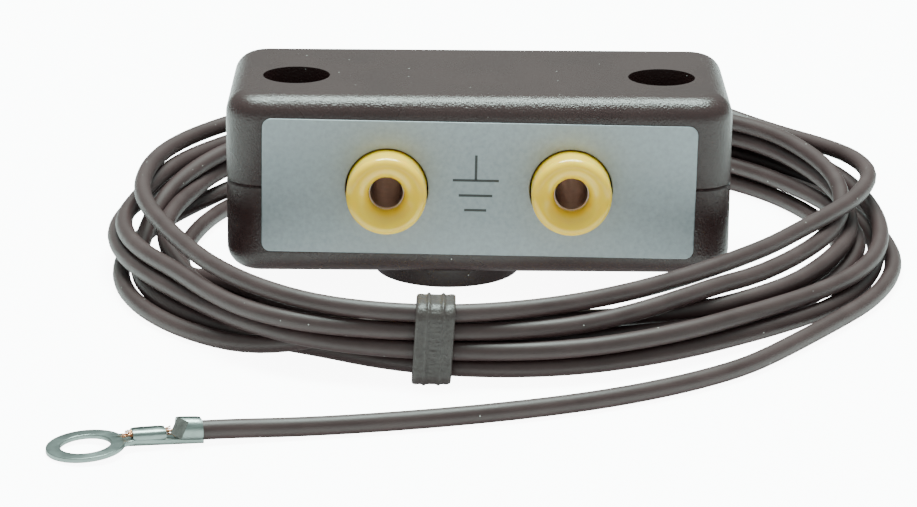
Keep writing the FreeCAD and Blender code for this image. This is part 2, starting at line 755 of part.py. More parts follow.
def oval(centre_x, centre_y, half_x, half_y, height):
    """An upright oval cylinder: its outline and its height are bound to the sheet."""
    outline = doc.addObject("Part::Ellipse", "Oval")
    outline.setExpression("MajorRadius", half_x)
    outline.setExpression("MinorRadius", half_y)
    outline.setExpression("Placement.Base.x", centre_x)
    outline.setExpression("Placement.Base.y", centre_y)
    block = doc.addObject("Part::Extrusion", "OvalBlock")
    block.Base = outline
    block.DirMode = "Custom"
    block.Dir = Vector(0, 0, 1)
    block.Solid = True
    block.setExpression("LengthFwd", height)
    return block


coil_blank = oval(
    "Sizes.coil_x", "Sizes.coil_y", "Sizes.coil_half_x", "Sizes.coil_half_y", "Sizes.coil_back_top + 2",
)
eye_blank = oval(
    "Sizes.eye_x", "Sizes.eye_y", "Sizes.eye_half_x", "Sizes.eye_half_y", "Sizes.coil_back_top + 2",
)
slope = math.degrees(math.atan2(
    value("Sizes.coil_back_top - Sizes.coil_front_top"), value("2 * Sizes.coil_half_y"),
))
above = primitive(
    "Box",
    (
        "Sizes.coil_x - Sizes.coil_half_x - 5",
        "Sizes.coil_y - Sizes.coil_half_y - 1",
        "Sizes.coil_front_top",
    ),
    Rotation(Vector(1, 0, 0), slope),
    Length="2 * Sizes.coil_half_x + 10", Width="2 * Sizes.coil_half_y + 10", Height="20",
)
# The tie is a flat loop round the bundle's front; the coil is pinched to its inside.
loop_front = "(Sizes.coil_y - Sizes.coil_half_y - 0.15)"
loop_back = "(Sizes.eye_y - Sizes.eye_half_y + 0.15)"
loop_top = "(Sizes.coil_front_top + 0.15)"


def tie_block(outset, width):
    """A block across the bundle, the loop's inside grown by outset."""
    inside_low = "Sizes.tie_thick"
    block = primitive(
        "Box",
        (
            f"Sizes.tie_x - ({width}) / 2",
            f"{loop_front} - {outset}",
            f"{inside_low} - {outset}",
        ),
        Length=width,
        Width=f"{loop_back} - {loop_front} + 2 * {outset}",
        Height=f"{loop_top} - {inside_low} + 2 * {outset}",
    )
    return eased(
        "Fillet", block, "tie_round",
        lambda edge: edge.BoundBox.XLength > 1 and edge.BoundBox.YLength < 0.01,
    )


node(cut(
    tie_block("Sizes.tie_thick", "Sizes.tie_width"), tie_block("0", "Sizes.tie_width + 2"),
), "coil_tie")
groove_block = primitive(
    "Box",
    ("Sizes.tie_x - Sizes.tie_width / 2 - 0.1", f"{loop_front} - 5", "-1"),
    Length="Sizes.tie_width + 0.2", Width=f"{loop_back} - {loop_front} + 10", Height="20",
)
beside_tie = cut(groove_block, tie_block("0", "Sizes.tie_width + 2"))
node(cut(coil_blank, eye_blank, above, beside_tie), "cord_coil")


# ---------------------------------------------------------------- ring terminal
wire_z = TAIL[-1][2]
ring = primitive("Cylinder", ("0", "0", "0"), Radius="Sizes.ring_dia / 2", Height="Sizes.ring_thick")
neck = primitive(
    "Box", ("Sizes.ring_hole / 2 + 0.6", "-1.15", "0"),
    Length="Sizes.grip_start - Sizes.ring_hole / 2", Width="2.3", Height="Sizes.ring_thick * 0.6",
)
barrel = primitive(
    "Cylinder", ("Sizes.barrel_start", "0", "1.15"), RIGHTWARD,
    Radius="1.1", Height="Sizes.barrel_end - Sizes.barrel_start",
)
grip = primitive(
    "Cylinder", ("Sizes.grip_start", "0", str(wire_z)), RIGHTWARD,
    Radius="Sizes.cord_dia / 2 + Sizes.grip_wall", Height="Sizes.grip_end - Sizes.grip_start",
)
stud_hole = primitive("Cylinder", ("0", "0", "-1"), Radius="Sizes.ring_hole / 2", Height="4")
core_bore = primitive(
    "Cylinder", ("Sizes.barrel_start - 1", "0", "1.15"), RIGHTWARD,
    Radius="Sizes.core_dia / 2 + 0.02", Height="Sizes.barrel_end - Sizes.barrel_start + 2",
)
cord_bore = primitive(
    "Cylinder", ("Sizes.grip_start - 1", "0", str(wire_z)), RIGHTWARD,
    Radius="Sizes.cord_dia / 2 + 0.01", Height="Sizes.grip_end - Sizes.grip_start + 2",
)
terminal = cut(fuse(ring, neck, barrel, grip), stud_hole, core_bore, cord_bore)
core_end = primitive(
    "Cylinder", ("Sizes.barrel_start - 0.3", "0", "1.15"), RIGHTWARD,
    Radius="Sizes.core_dia / 2", Height="Sizes.grip_start - Sizes.barrel_start + 0.3",
)


def laid_down(obj, label):
    """Turns a piece of the terminal to its direction on the bench and moves it to the ring centre."""
    turned_piece = doc.addObject("Part::Compound", label)
    turned_piece.Links = [obj]
    turned_piece.Placement = Placement(Vector(), Rotation(Vector(0, 0, 1), value("Sizes.ring_turn")))
    turned_piece.setExpression("Placement.Base.x", "Sizes.ring_x")
    turned_piece.setExpression("Placement.Base.y", "Sizes.ring_y")
    node(turned_piece, label)


laid_down(terminal, "ring_terminal")
laid_down(core_end, "terminal_core")

# ---------------------------------------------------------------- checks and files
doc.recompute()
for obj in doc.Objects:
    if "Invalid" in obj.State or "Error" in obj.State:
        raise RuntimeError(f"{obj.Label} did not rebuild: {obj.State}")
os.makedirs("parts", exist_ok=True)
for obj in nodes:
    shape = obj.Shape
    if shape.isNull() or not shape.isValid() or not shape.Solids:
        raise RuntimeError(f"{obj.Label} has no valid solid")
for obj in nodes:
    obj.Shape.exportStep(f"parts/{obj.Label}.step")
    box = obj.Shape.BoundBox
    print(f"{obj.Label:24s} solids {len(obj.Shape.Solids)} volume {obj.Shape.Volume:9.1f}  "
          f"x {box.XMin:7.2f} {box.XMax:7.2f}  y {box.YMin:7.2f} {box.YMax:7.2f}  "
          f"z {box.ZMin:6.2f} {box.ZMax:6.2f}")
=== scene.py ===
"""Grounding block with two plug jacks, its ground cord wound up and tied, and a ring terminal."""
import math

import bmesh
import bpy
import numpy as np
from mathutils import Matrix, Vector, noise


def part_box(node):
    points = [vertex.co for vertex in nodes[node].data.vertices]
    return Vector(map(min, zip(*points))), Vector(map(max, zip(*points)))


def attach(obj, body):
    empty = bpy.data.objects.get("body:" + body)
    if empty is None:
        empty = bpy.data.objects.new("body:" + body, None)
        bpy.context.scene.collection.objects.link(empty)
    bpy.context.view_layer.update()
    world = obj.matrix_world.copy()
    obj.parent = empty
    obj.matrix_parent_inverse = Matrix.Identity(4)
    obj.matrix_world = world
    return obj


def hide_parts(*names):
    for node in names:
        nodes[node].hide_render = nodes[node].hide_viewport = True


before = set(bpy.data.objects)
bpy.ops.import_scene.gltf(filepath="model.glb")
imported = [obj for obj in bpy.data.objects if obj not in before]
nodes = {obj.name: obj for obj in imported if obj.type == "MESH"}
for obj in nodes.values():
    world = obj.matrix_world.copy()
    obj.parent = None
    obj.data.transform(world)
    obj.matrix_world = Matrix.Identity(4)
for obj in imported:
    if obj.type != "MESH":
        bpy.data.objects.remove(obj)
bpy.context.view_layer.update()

# ---------------------------------------------------------------- camera
# A long lens from in front and a little above, turned half a degree. The block fills half the
# frame, with its cord round it and the ring terminal at the lower left.
CAMERA_PLACE = Vector((-0.00383, -0.43228, 0.13564))
CAMERA_AIM = Vector((-0.00244, -0.00251, 0.00223))
CAMERA_ROLL = math.radians(0.464)
camera_data = bpy.data.cameras.new("camera")
camera_data.sensor_width = 36.0
camera_data.lens = 137.4
camera_data.clip_start = 0.01
camera = bpy.data.objects.new("camera", camera_data)
bpy.context.scene.collection.objects.link(camera)
bpy.context.scene.camera = camera
looking = (CAMERA_AIM - CAMERA_PLACE).to_track_quat("-Z", "Y").to_matrix().to_4x4()
camera.matrix_world = Matrix.Translation(CAMERA_PLACE) @ looking @ Matrix.Rotation(CAMERA_ROLL, 4, "Z")


# ---------------------------------------------------------------- ground cord
# Stranded wire in soft black PVC, 2.2 mm thick. It leaves the back of the casing, is wound by
# hand into seven turns round the block, and its free end lies in front of them.

# A speck fades out from DUST_CORE to DUST_EDGE round the middle of each cell whose random value
# is over DUST_RARE. Tones and gloss run between the low and the high value of the blotches.
DUST_EDGE, DUST_CORE = 0.10, 0.03
DUST_RARE = 0.93
BLOTCH_LOW, BLOTCH_HIGH = 0.2, 0.8


def skin_group():
    """Shared surface detail: fine grain, broad blotches and a few specks of dust."""
    group = bpy.data.node_groups.new("skin", "ShaderNodeTree")
    for name, start in (("Grain Scale", 4000.0), ("Blotch Scale", 150.0), ("Dust Scale", 900.0)):
        socket = group.interface.new_socket(name, in_out="INPUT", socket_type="NodeSocketFloat")
        socket.default_value = start
    for name in ("Grain", "Blotch", "Dust"):
        group.interface.new_socket(name, in_out="OUTPUT", socket_type="NodeSocketFloat")
    make, link = group.nodes.new, group.links.new
    inside, outside = make("NodeGroupInput"), make("NodeGroupOutput")
    place = make("ShaderNodeTexCoord").outputs["Object"]
    for name, detail in (("Grain", 3.0), ("Blotch", 4.0)):
        clouds = make("ShaderNodeTexNoise")
        clouds.inputs["Detail"].default_value = detail
        link(place, clouds.inputs["Vector"])
        link(inside.outputs[f"{name} Scale"], clouds.inputs["Scale"])
        link(clouds.outputs["Fac"], outside.inputs[name])
    cells = make("ShaderNodeTexVoronoi")
    link(place, cells.inputs["Vector"])
    link(inside.outputs["Dust Scale"], cells.inputs["Scale"])
    near = make("ShaderNodeMapRange")
    near.inputs["From Min"].default_value = DUST_EDGE
    near.inputs["From Max"].default_value = DUST_CORE
    link(cells.outputs["Distance"], near.inputs["Value"])
    rare = make("ShaderNodeMath")
    rare.operation = "GREATER_THAN"
    rare.inputs[1].default_value = DUST_RARE
    pick = make("ShaderNodeSeparateColor")
    link(cells.outputs["Color"], pick.inputs["Color"])
    link(pick.outputs["Red"], rare.inputs[0])
    both = make("ShaderNodeMath")
    both.operation = "MULTIPLY"
    link(near.outputs["Result"], both.inputs[0])
    link(rare.outputs["Value"], both.inputs[1])
    link(both.outputs["Value"], outside.inputs["Dust"])
    return group


SKIN = skin_group()


def finish(name, light, dark, rough, grain, blotch=150.0, relief=0.00002, dust=None, **plain):
    """A procedural material: two tones mixed by blotches, uneven gloss, fine relief, some dust.

    rough is (smoothest, roughest), grain and blotch are patterns per metre, relief is the
    depth of the grain in metres, dust is the colour of the specks, and plain are the
    shader's own values, by the names of its sockets.
    """
    material = bpy.data.materials.new(name)
    material.use_nodes = True
    tree = material.node_tree
    shader = tree.nodes["Principled BSDF"]
    skin = tree.nodes.new("ShaderNodeGroup")
    skin.node_tree = SKIN
    skin.inputs["Grain Scale"].default_value = grain
    skin.inputs["Blotch Scale"].default_value = blotch
    tones = tree.nodes.new("ShaderNodeMix")
    tones.data_type = "RGBA"
    tones.inputs["A"].default_value = (*dark, 1.0)
    tones.inputs["B"].default_value = (*light, 1.0)
    spread = tree.nodes.new("ShaderNodeMapRange")
    spread.inputs["From Min"].default_value = BLOTCH_LOW
    spread.inputs["From Max"].default_value = BLOTCH_HIGH
    tree.links.new(skin.outputs["Blotch"], spread.inputs["Value"])
    tree.links.new(spread.outputs["Result"], tones.inputs["Factor"])
    colour = tones.outputs["Result"]
    if dust is not None:
        specks = tree.nodes.new("ShaderNodeMix")
        specks.data_type = "RGBA"
        specks.inputs["B"].default_value = (*dust, 1.0)
        tree.links.new(colour, specks.inputs["A"])
        tree.links.new(skin.outputs["Dust"], specks.inputs["Factor"])
        colour = specks.outputs["Result"]
    tree.links.new(colour, shader.inputs["Base Color"])
    gloss = tree.nodes.new("ShaderNodeMapRange")
    gloss.inputs["From Min"].default_value = BLOTCH_LOW
    gloss.inputs["From Max"].default_value = BLOTCH_HIGH
    gloss.inputs["To Min"].default_value = rough[0]
    gloss.inputs["To Max"].default_value = rough[1]
    tree.links.new(skin.outputs["Blotch"], gloss.inputs["Value"])
    tree.links.new(gloss.outputs["Result"], shader.inputs["Roughness"])
    bump = tree.nodes.new("ShaderNodeBump")
    bump.inputs["Distance"].default_value = relief
    tree.links.new(skin.outputs["Grain"], bump.inputs["Height"])
    tree.links.new(bump.outputs["Normal"], shader.inputs["Normal"])
    for socket, value in plain.items():
        shader.inputs[socket.replace("_", " ")].default_value = value
    return material


def paint(piece, material):
    """Gives a piece its material."""
    piece.data.materials.clear()
    piece.data.materials.append(material)


CORD_DIAMETER = 0.0022
# The way out of the bushing, and the free end up to the terminal's grip.
LEAD = [
    (0.0, 0.0157, 0.0138),
    (0.0, 0.0229, 0.0138),
    (0.0028, 0.0292, 0.0136),
    (0.0076, 0.0330, 0.0132),
]
TAIL = [
    (0.0345, -0.0391, 0.0011),
    (0.0296, -0.0446, 0.0011),
    (0.0220, -0.0504, 0.0011),
    (0.0129, -0.0554, 0.0011),
    (0.0022, -0.0594, 0.0011),
    (-0.0090, -0.0625, 0.0011),
    (-0.0201, -0.0647, 0.0011),
    (-0.0297, -0.0664, 0.00145),
    (-0.0336, -0.06735, 0.00145),
]
WINDING_X = 0.003
POINTS_PER_TURN = 36
# How the hand laid each turn, in millimetres: (degrees from the back, radius, height).
TURNS = [
    [(18, 42.6, 12.9), (24, 46.4, 12.4), (30, 49.8, 12.0), (34, 51.6, 10.6), (38, 52.4, 9.0),
     (46, 52.4, 8.1), (54, 52.2, 8.3), (62, 51.7, 9.0), (77, 50.3, 9.5), (90, 45.2, 8.7),
     (104, 39.8, 8.3), (120, 37.6, 8.4), (135, 37.2, 8.4), (152, 38.7, 8.3), (171, 43.1, 8.4),
     (191, 46.8, 8.3), (210, 48.4, 8.6), (222, 47.4, 9.0), (235, 45.3, 9.0), (250, 44.5, 9.2),
     (270, 46.3, 9.5), (300, 48.8, 9.9)],
    [(0, 48.6, 10.0), (15, 48.8, 9.4), (25, 48.8, 9.0), (35, 48.8, 9.1), (48, 48.8, 9.6),
     (62, 47.4, 9.0), (77, 46.0, 7.9), (90, 44.0, 6.6), (104, 41.2, 6.7), (112, 40.2, 6.4),
     (120, 39.4, 6.3), (128, 38.9, 6.3), (135, 38.8, 6.6), (152, 40.6, 6.4), (171, 44.6, 6.2),
     (191, 46.6, 6.1), (210, 49.6, 6.3), (222, 49.2, 6.4), (235, 46.9, 6.6), (250, 47.7, 6.5),
     (270, 48.7, 6.5), (285, 46.4, 7.5), (300, 47.4, 7.7)],
    [(0, 49.6, 7.9), (22, 50.6, 7.1), (42, 51.7, 6.4), (62, 50.6, 6.6), (77, 50.1, 5.4),
     (90, 49.3, 4.2), (104, 47.4, 3.6), (120, 44.2, 3.4), (135, 43.0, 3.8), (152, 44.2, 4.0),
     (171, 46.3, 4.0), (191, 46.9, 3.9), (210, 48.6, 4.1), (222, 48.0, 4.2), (235, 47.4, 4.4),
     (250, 48.3, 4.4), (270, 49.9, 4.2), (300, 48.8, 4.9)],
    [(0, 49.8, 3.8), (22, 50.2, 3.0), (42, 50.4, 2.6), (62, 49.7, 2.8), (77, 49.5, 2.7),
     (90, 49.0, 2.0), (104, 47.2, 1.4), (120, 45.2, 1.3), (135, 43.6, 1.5), (152, 44.0, 1.6),
     (171, 45.8, 1.7), (191, 46.0, 1.7), (200, 45.2, 1.6), (210, 44.4, 1.6), (216, 45.0, 1.6),
     (224, 46.4, 1.7), (235, 47.4, 1.9), (245, 47.8, 2.0), (255, 47.5, 2.2), (270, 45.9, 3.8),
     (285, 45.4, 6.2), (300, 45.2, 7.5)],
    [(0, 46.6, 8.0), (22, 47.6, 7.6), (42, 49.3, 7.4), (62, 47.6, 6.8), (77, 46.4, 6.2),
     (90, 45.2, 5.0), (104, 43.2, 4.8), (120, 41.4, 4.4), (135, 40.2, 4.4), (143, 39.8, 4.4),
     (152, 39.6, 5.0), (171, 42.4, 6.4), (191, 43.8, 6.9), (198, 45.0, 6.4), (204, 46.0, 5.0),
     (210, 46.6, 3.0), (216, 47.4, 1.6), (224, 48.8, 1.1), (240, 49.8, 1.1), (255, 49.5, 1.1),
     (270, 48.4, 1.4), (285, 46.4, 1.8), (300, 44.6, 2.4)],
    [(0, 47.2, 3.0), (22, 47.9, 3.7), (42, 48.3, 3.6), (62, 47.0, 3.6), (77, 46.6, 3.8),
     (90, 46.4, 3.2), (104, 44.0, 2.2), (120, 42.5, 2.1), (135, 41.2, 2.3), (152, 41.4, 3.2),
     (171, 42.9, 4.2), (191, 43.8, 4.7), (204, 43.8, 5.9), (214, 44.4, 6.5), (222, 44.4, 6.4),
     (235, 42.2, 5.4), (250, 41.6, 2.6), (270, 41.2, 1.1), (285, 41.4, 1.1), (300, 42.6, 1.1)],
    [(0, 45.8, 1.1), (22, 47.6, 1.1), (42, 48.4, 1.1), (62, 46.9, 1.1), (77, 45.6, 1.1),
     (90, 44.0, 1.1), (104, 41.4, 1.1), (120, 39.8, 1.1), (135, 39.4, 1.1), (152, 41.2, 1.3),
     (171, 43.2, 2.0), (191, 43.8, 2.5), (204, 43.4, 3.6), (214, 43.8, 4.2), (222, 44.0, 4.2),
     (235, 44.4, 4.5), (250, 43.6, 4.9), (270, 43.3, 5.2), (285, 43.8, 5.4), (300, 45.2, 5.3)],
    [(0, 47.4, 5.6), (22, 49.9, 5.4), (42, 51.7, 4.2), (62, 51.6, 2.6), (77, 51.3, 1.5),
     (88, 50.9, 1.1), (104, 49.7, 1.1), (121, 48.2, 1.1)],
]
MM = 0.001
# The turns are pushed apart to a little over a diameter. A point ignores this many neighbours
# along its own stretch, and is drawn back each round by a share of how far it was moved.
TURN_GAP = 1.02
OWN_STRETCH = 6
DRAWN_BACK = 0.01


def wound_points():
    """Control points round the block, a cubic in the angle through the laid places."""
    laid = np.array([
        (degrees + 360 * k, radius * MM, height * MM)
        for k, turn in enumerate(TURNS) for degrees, radius, height in turn
    ])
    angles = laid[:, 0]
    count = round((angles[-1] - angles[0]) / 360 * POINTS_PER_TURN)
    wanted = np.linspace(angles[0], angles[-1], count + 1)
    i = np.clip(np.searchsorted(angles, wanted) - 1, 0, len(angles) - 2)
    step = angles[i + 1] - angles[i]
    t = (wanted - angles[i]) / step
    radius, height = (
        (2 * t**3 - 3 * t**2 + 1) * place[i] + (t**3 - 2 * t**2 + t) * step * slope[i]
        + (3 * t**2 - 2 * t**3) * place[i + 1] + (t**3 - t**2) * step * slope[i + 1]
        for place, slope in ((p, np.gradient(p, angles)) for p in (laid[:, 1], laid[:, 2]))
    )
    turned = np.radians(wanted)
    return np.stack([WINDING_X + radius * np.sin(turned), radius * np.cos(turned), height], 1)


def settled(points, held, rounds=160):
    """Lets the turns push one another apart to a diameter and rest on the bench."""
    points = points.copy()
    laid = points.copy()
    gap = CORD_DIAMETER * TURN_GAP
    order = np.arange(len(points))
    apart = np.abs(order[:, None] - (order[None, :-1] + 0.5)) > OWN_STRETCH
    for _ in range(rounds):
        start, run = points[:-1], points[1:] - points[:-1]
        offset = points[:, None] - start[None]
        along = np.clip((offset * run).sum(2) / (run**2).sum(1), 0, 1)
        away = offset - along[..., None] * run
        distance = np.maximum(np.linalg.norm(away, axis=2), 1e-6)
        touching = apart & (distance < gap)
        push = np.where(touching, (gap - distance) / distance, 0)[..., None] * away / 2
        shove = np.zeros_like(points)
        shove[:-1] -= (push * (1 - along)[..., None]).sum(0)
        shove[1:] -= (push * along[..., None]).sum(0)
        shared = np.zeros(len(points))
        shared[:-1] += (touching * (1 - along)).sum(0)
        shared[1:] += (touching * along).sum(0)
        move = push.sum(1) / np.maximum(touching.sum(1), 1)[:, None]
        move = (move + shove / np.maximum(shared, 1)[:, None]) / 2 + (laid - points) * DRAWN_BACK
        move[1:-1] = move[:-2] / 4 + move[1:-1] / 2 + move[2:] / 4
        move[held] = 0
        points += move
        points[:, 2] = np.maximum(points[:, 2], CORD_DIAMETER / 2)
    return points


wound = wound_points()
route = np.concatenate([LEAD, wound, TAIL])
held = np.ones(len(route), bool)
held[len(LEAD):len(LEAD) + len(wound)] = False
route = settled(route, held)

cord_curve = bpy.data.curves.new("ground_cord", "CURVE")
cord_curve.dimensions = "3D"
cord_curve.resolution_u = 4
cord_curve.bevel_depth = CORD_DIAMETER / 2
cord_curve.bevel_resolution = 6
cord_curve.use_fill_caps = True
line = cord_curve.splines.new("NURBS")
line.points.add(len(route) - 1)
for point, place in zip(line.points, route):
    point.co = (*place, 1.0)
line.order_u = 3
line.use_endpoint_u = True
ground_cord = bpy.data.objects.new("ground_cord", cord_curve)
bpy.context.scene.collection.objects.link(ground_cord)
CORD_BLACK = finish(
    "cord_black", light=(0.050, 0.025, 0.025), dark=(0.030, 0.012, 0.012), rough=(0.44, 0.56),
    grain=3800.0, blotch=210.0, relief=0.000018, dust=(0.55, 0.55, 0.52),
)
cord_curve.materials.append(CORD_BLACK)
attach(ground_cord, "root")
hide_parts("cord_lead", "cord_coil", "cord_tail")

# ---------------------------------------------------------------- casing
# Two shells moulded in black ABS with a fine spark-eroded texture. They meet at the height of
# the jacks, and four steel screws from below hold them together.
CASING_BLACK = finish(
    "casing_black", light=(0.037, 0.017, 0.017), dark=(0.027, 0.011, 0.011), rough=(0.24, 0.31),
    grain=4200.0, blotch=90.0, relief=0.00008, dust=(0.5, 0.5, 0.48),
)
STEEL = finish(
    "steel", light=(0.60, 0.59, 0.57), dark=(0.46, 0.45, 0.43), rough=(0.22, 0.38),
    grain=5000.0, blotch=700.0, relief=0.00001, Metallic=1.0,
)
for name in ("upper_shell", "lower_shell"):
    paint(nodes[name], CASING_BLACK)
paint(nodes["shell_screws"], STEEL)

# ---------------------------------------------------------------- front label
# Silver polyester film, cut with rounded corners and two holes, and stuck on a little crooked.
# Its cut edges are slightly rounded, and the ground symbol is printed on it in dark ink.
LABEL_SILVER = finish(
    "label_silver", light=(0.35, 0.37, 0.40), dark=(0.26, 0.28, 0.30), rough=(0.38, 0.52),
    grain=6000.0, blotch=1900.0, relief=0.00001, Metallic=0.35,
)
INK = finish(
    "ink", light=(0.050, 0.048, 0.050), dark=(0.035, 0.033, 0.035), rough=(0.45, 0.60),
    grain=7000.0, blotch=900.0, relief=0.000004,
)
LABEL_EDGE = 0.00014
LABEL_SHARP = math.radians(50)
SAME_PLACE = 0.000001


def merged_copy(node, name):
    """A copy of a CAD node's mesh with its loose triangles joined into flat faces."""
    shell = bmesh.new()
    shell.from_mesh(node.data)
    bmesh.ops.remove_doubles(shell, verts=shell.verts, dist=SAME_PLACE)
    flat = math.radians(1.0)
    bmesh.ops.dissolve_limit(shell, angle_limit=flat, verts=shell.verts, edges=shell.edges)
    mesh = bpy.data.meshes.new(name)
    shell.to_mesh(mesh)
    shell.free()
    piece = bpy.data.objects.new(name, mesh)
    bpy.context.scene.collection.objects.link(piece)
    return piece


label_film = merged_copy(nodes["front_label"], "label_film")
rounded = label_film.modifiers.new("cut_edge", "BEVEL")
rounded.width = LABEL_EDGE
rounded.segments = 2
rounded.limit_method = "ANGLE"
rounded.angle_limit = LABEL_SHARP
paint(label_film, LABEL_SILVER)
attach(label_film, "root")
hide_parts("front_label")

# The symbol in the label's own plane: a stem and three bars, each shorter than the last.
LABEL_TURN = math.radians(0.75)
SYMBOL_MIDDLE = -0.0004
SYMBOL_LINE = 0.00032
INK_DEPTH = 0.00002
SYMBOL_STROKES = [
    (0.0, 0.00278, SYMBOL_LINE, 0.00326),
    (0.0, 0.00115, 0.00576, SYMBOL_LINE),
    (0.0, -0.00081, 0.00420, SYMBOL_LINE),
    (0.0, -0.00270, 0.00276, SYMBOL_LINE),
]
label_low, label_high = (Vector(corner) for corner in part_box("front_label"))
label_middle = (label_low + label_high) / 2
strokes = bmesh.new()
for across, up, width, height in SYMBOL_STROKES:
    stroke = bmesh.ops.create_cube(strokes, size=1.0)["verts"]
    bmesh.ops.scale(strokes, vec=(width, INK_DEPTH * 2, height), verts=stroke)
    bmesh.ops.translate(strokes, vec=(SYMBOL_MIDDLE + across, 0.0, up), verts=stroke)
turn = Matrix.Rotation(LABEL_TURN, 3, "Y")
bmesh.ops.rotate(strokes, cent=(0, 0, 0), matrix=turn, verts=strokes.verts)
label_face = (label_middle.x, label_low.y, label_middle.z)
bmesh.ops.translate(strokes, vec=label_face, verts=strokes.verts)
symbol_mesh = bpy.data.meshes.new("ground_symbol")
strokes.to_mesh(symbol_mesh)
strokes.free()
ground_symbol = bpy.data.objects.new("ground_symbol", symbol_mesh)
bpy.context.scene.collection.objects.link(ground_symbol)
paint(ground_symbol, INK)
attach(ground_symbol, "root")

# ---------------------------------------------------------------- jacks
# Yellow nylon insulators pressed through the front, a nickel-plated sleeve in each, and behind
# the panel a solder lug, a lock washer and a nut. A tinned wire joins the two lugs.
JACK_YELLOW = finish(
    "jack_yellow", light=(0.95, 0.60, 0.04), dark=(0.90, 0.54, 0.03), rough=(0.16, 0.26),
    grain=900.0, blotch=120.0, relief=0.000004, Subsurface_Weight=0.2, Subsurface_Scale=0.001,
    Coat_Weight=0.2,
)
NICKEL = finish(
    "nickel", light=(0.72, 0.70, 0.66), dark=(0.60, 0.58, 0.54), rough=(0.16, 0.30),
    grain=3000.0, blotch=500.0, relief=0.000004, Metallic=1.0,
)
# The sleeves' nickel is tinted brown: painted shade for the dark inside of the deep bores.
BORE_SHADE_NICKEL = finish(
    "bore_shade_nickel", light=(0.84, 0.66, 0.58), dark=(0.70, 0.53, 0.46), rough=(0.26, 0.40),
    grain=3000.0, blotch=700.0, relief=0.000008, Metallic=1.0,
)
TINNED_BRASS = finish(
    "tinned_brass", light=(0.27, 0.31, 0.295), dark=(0.18, 0.21, 0.20), rough=(0.26, 0.42),
    grain=2500.0, blotch=600.0, relief=0.00002, Metallic=1.0,
)
TINNED_WIRE = finish(
    "tinned_wire", light=(0.68, 0.69, 0.70), dark=(0.55, 0.56, 0.57), rough=(0.25, 0.40),
    grain=4000.0, blotch=900.0, relief=0.000006, Metallic=1.0,
)
# Half of the insulator's section, in millimetres: (radius, distance behind its node's front).
# The collar's crest is round outside and opens inside like a trumpet to the sleeve's mouth.
CREST_RADIUS = 4.0
CREST_ROUND = 1.0
MOUTH_ROUND = 1.8
COLLAR_SIDE = -0.1
MOUTH_DEPTH = 0.7
COLLAR_SHARP = math.radians(40)
INSULATOR_BACK = [
    (2.2, 1.48), (2.65, 1.48), (2.65, 12.8), (3.5, 12.8), (3.5, 9.8), (4.8, 9.8), (4.8, 7.8),
    (3.8, 7.8), (3.8, 5.8), (5.0, 5.8),
]
quarter = [math.radians(a) for a in range(0, 91, 6)]
crest = [
    (CREST_RADIUS + CREST_ROUND * math.cos(a), COLLAR_SIDE - CREST_ROUND * math.sin(a))
    for a in quarter
]
mouth = [
    (CREST_RADIUS - MOUTH_ROUND * math.sin(a), MOUTH_DEPTH - MOUTH_ROUND * math.cos(a))
    for a in quarter[1:]
]
insulator_section = crest + mouth + INSULATOR_BACK


def turned_ring(name, section, axis, start, steps=96):
    """A closed section in millimetres turned about an axis along Y, as one closed ring."""
    form = bmesh.new()
    rows = []
    for i in range(steps):
        angle = 2 * math.pi * i / steps
        across, up = math.cos(angle), math.sin(angle)
        rows.append([
            form.verts.new((axis.x + radius * MM * across, start + back * MM, axis.z + radius * MM * up))
            for radius, back in section
        ])
    for before, after in zip(rows, rows[1:] + rows[:1]):
        for j in range(len(section)):
            k = (j + 1) % len(section)
            form.faces.new((before[j], before[k], after[k], after[j]))
    bmesh.ops.recalc_face_normals(form, faces=form.faces)
    for face in form.faces:
        face.smooth = True
    mesh = bpy.data.meshes.new(name)
    form.to_mesh(mesh)
    form.free()
    mesh.set_sharp_from_angle(angle=COLLAR_SHARP)
    piece = bpy.data.objects.new(name, mesh)
    bpy.context.scene.collection.objects.link(piece)
    return piece


for side in ("left", "right"):
    low, high = (Vector(corner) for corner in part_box(f"jack_insulator_{side}"))
    collar = turned_ring(f"jack_collar_{side}", insulator_section, (low + high) / 2, low.y)
    paint(collar, JACK_YELLOW)
    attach(collar, "root")
    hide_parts(f"jack_insulator_{side}")
    paint(nodes[f"jack_insulator_{side}"], JACK_YELLOW)
    paint(nodes[f"jack_contact_{side}"], BORE_SHADE_NICKEL)
    paint(nodes[f"jack_nut_{side}"], NICKEL)
    paint(nodes[f"jack_lug_{side}"], TINNED_BRASS)
    paint(nodes[f"jack_washer_{side}"], STEEL)
paint(nodes["link_wire"], TINNED_WIRE)

# ---------------------------------------------------------------- cord's way into the casing
# A soft PVC bushing holds the cord in the back wall. Inside, the stripped end of the cord is
# soldered to a jack's lug. Three moulded rings let the bushing bend with the cord.
COPPER = finish(
    "copper", light=(0.80, 0.42, 0.25), dark=(0.62, 0.29, 0.16), rough=(0.24, 0.42),
    grain=4000.0, blotch=1500.0, relief=0.000006, Metallic=1.0,
)
paint(nodes["cord_bushing"], CORD_BLACK)
paint(nodes["cord_inside"], CORD_BLACK)
paint(nodes["cord_core"], COPPER)


def number(group, name, start):
    """Adds a named number to a Geometry Nodes tree's inputs."""
    socket = group.interface.new_socket(name, in_out="INPUT", socket_type="NodeSocketFloat")
    socket.default_value = start


def whole_number(group, name, start):
    """Adds a named whole number to a Geometry Nodes tree's inputs."""
    socket = group.interface.new_socket(name, in_out="INPUT", socket_type="NodeSocketInt")
    socket.default_value = start


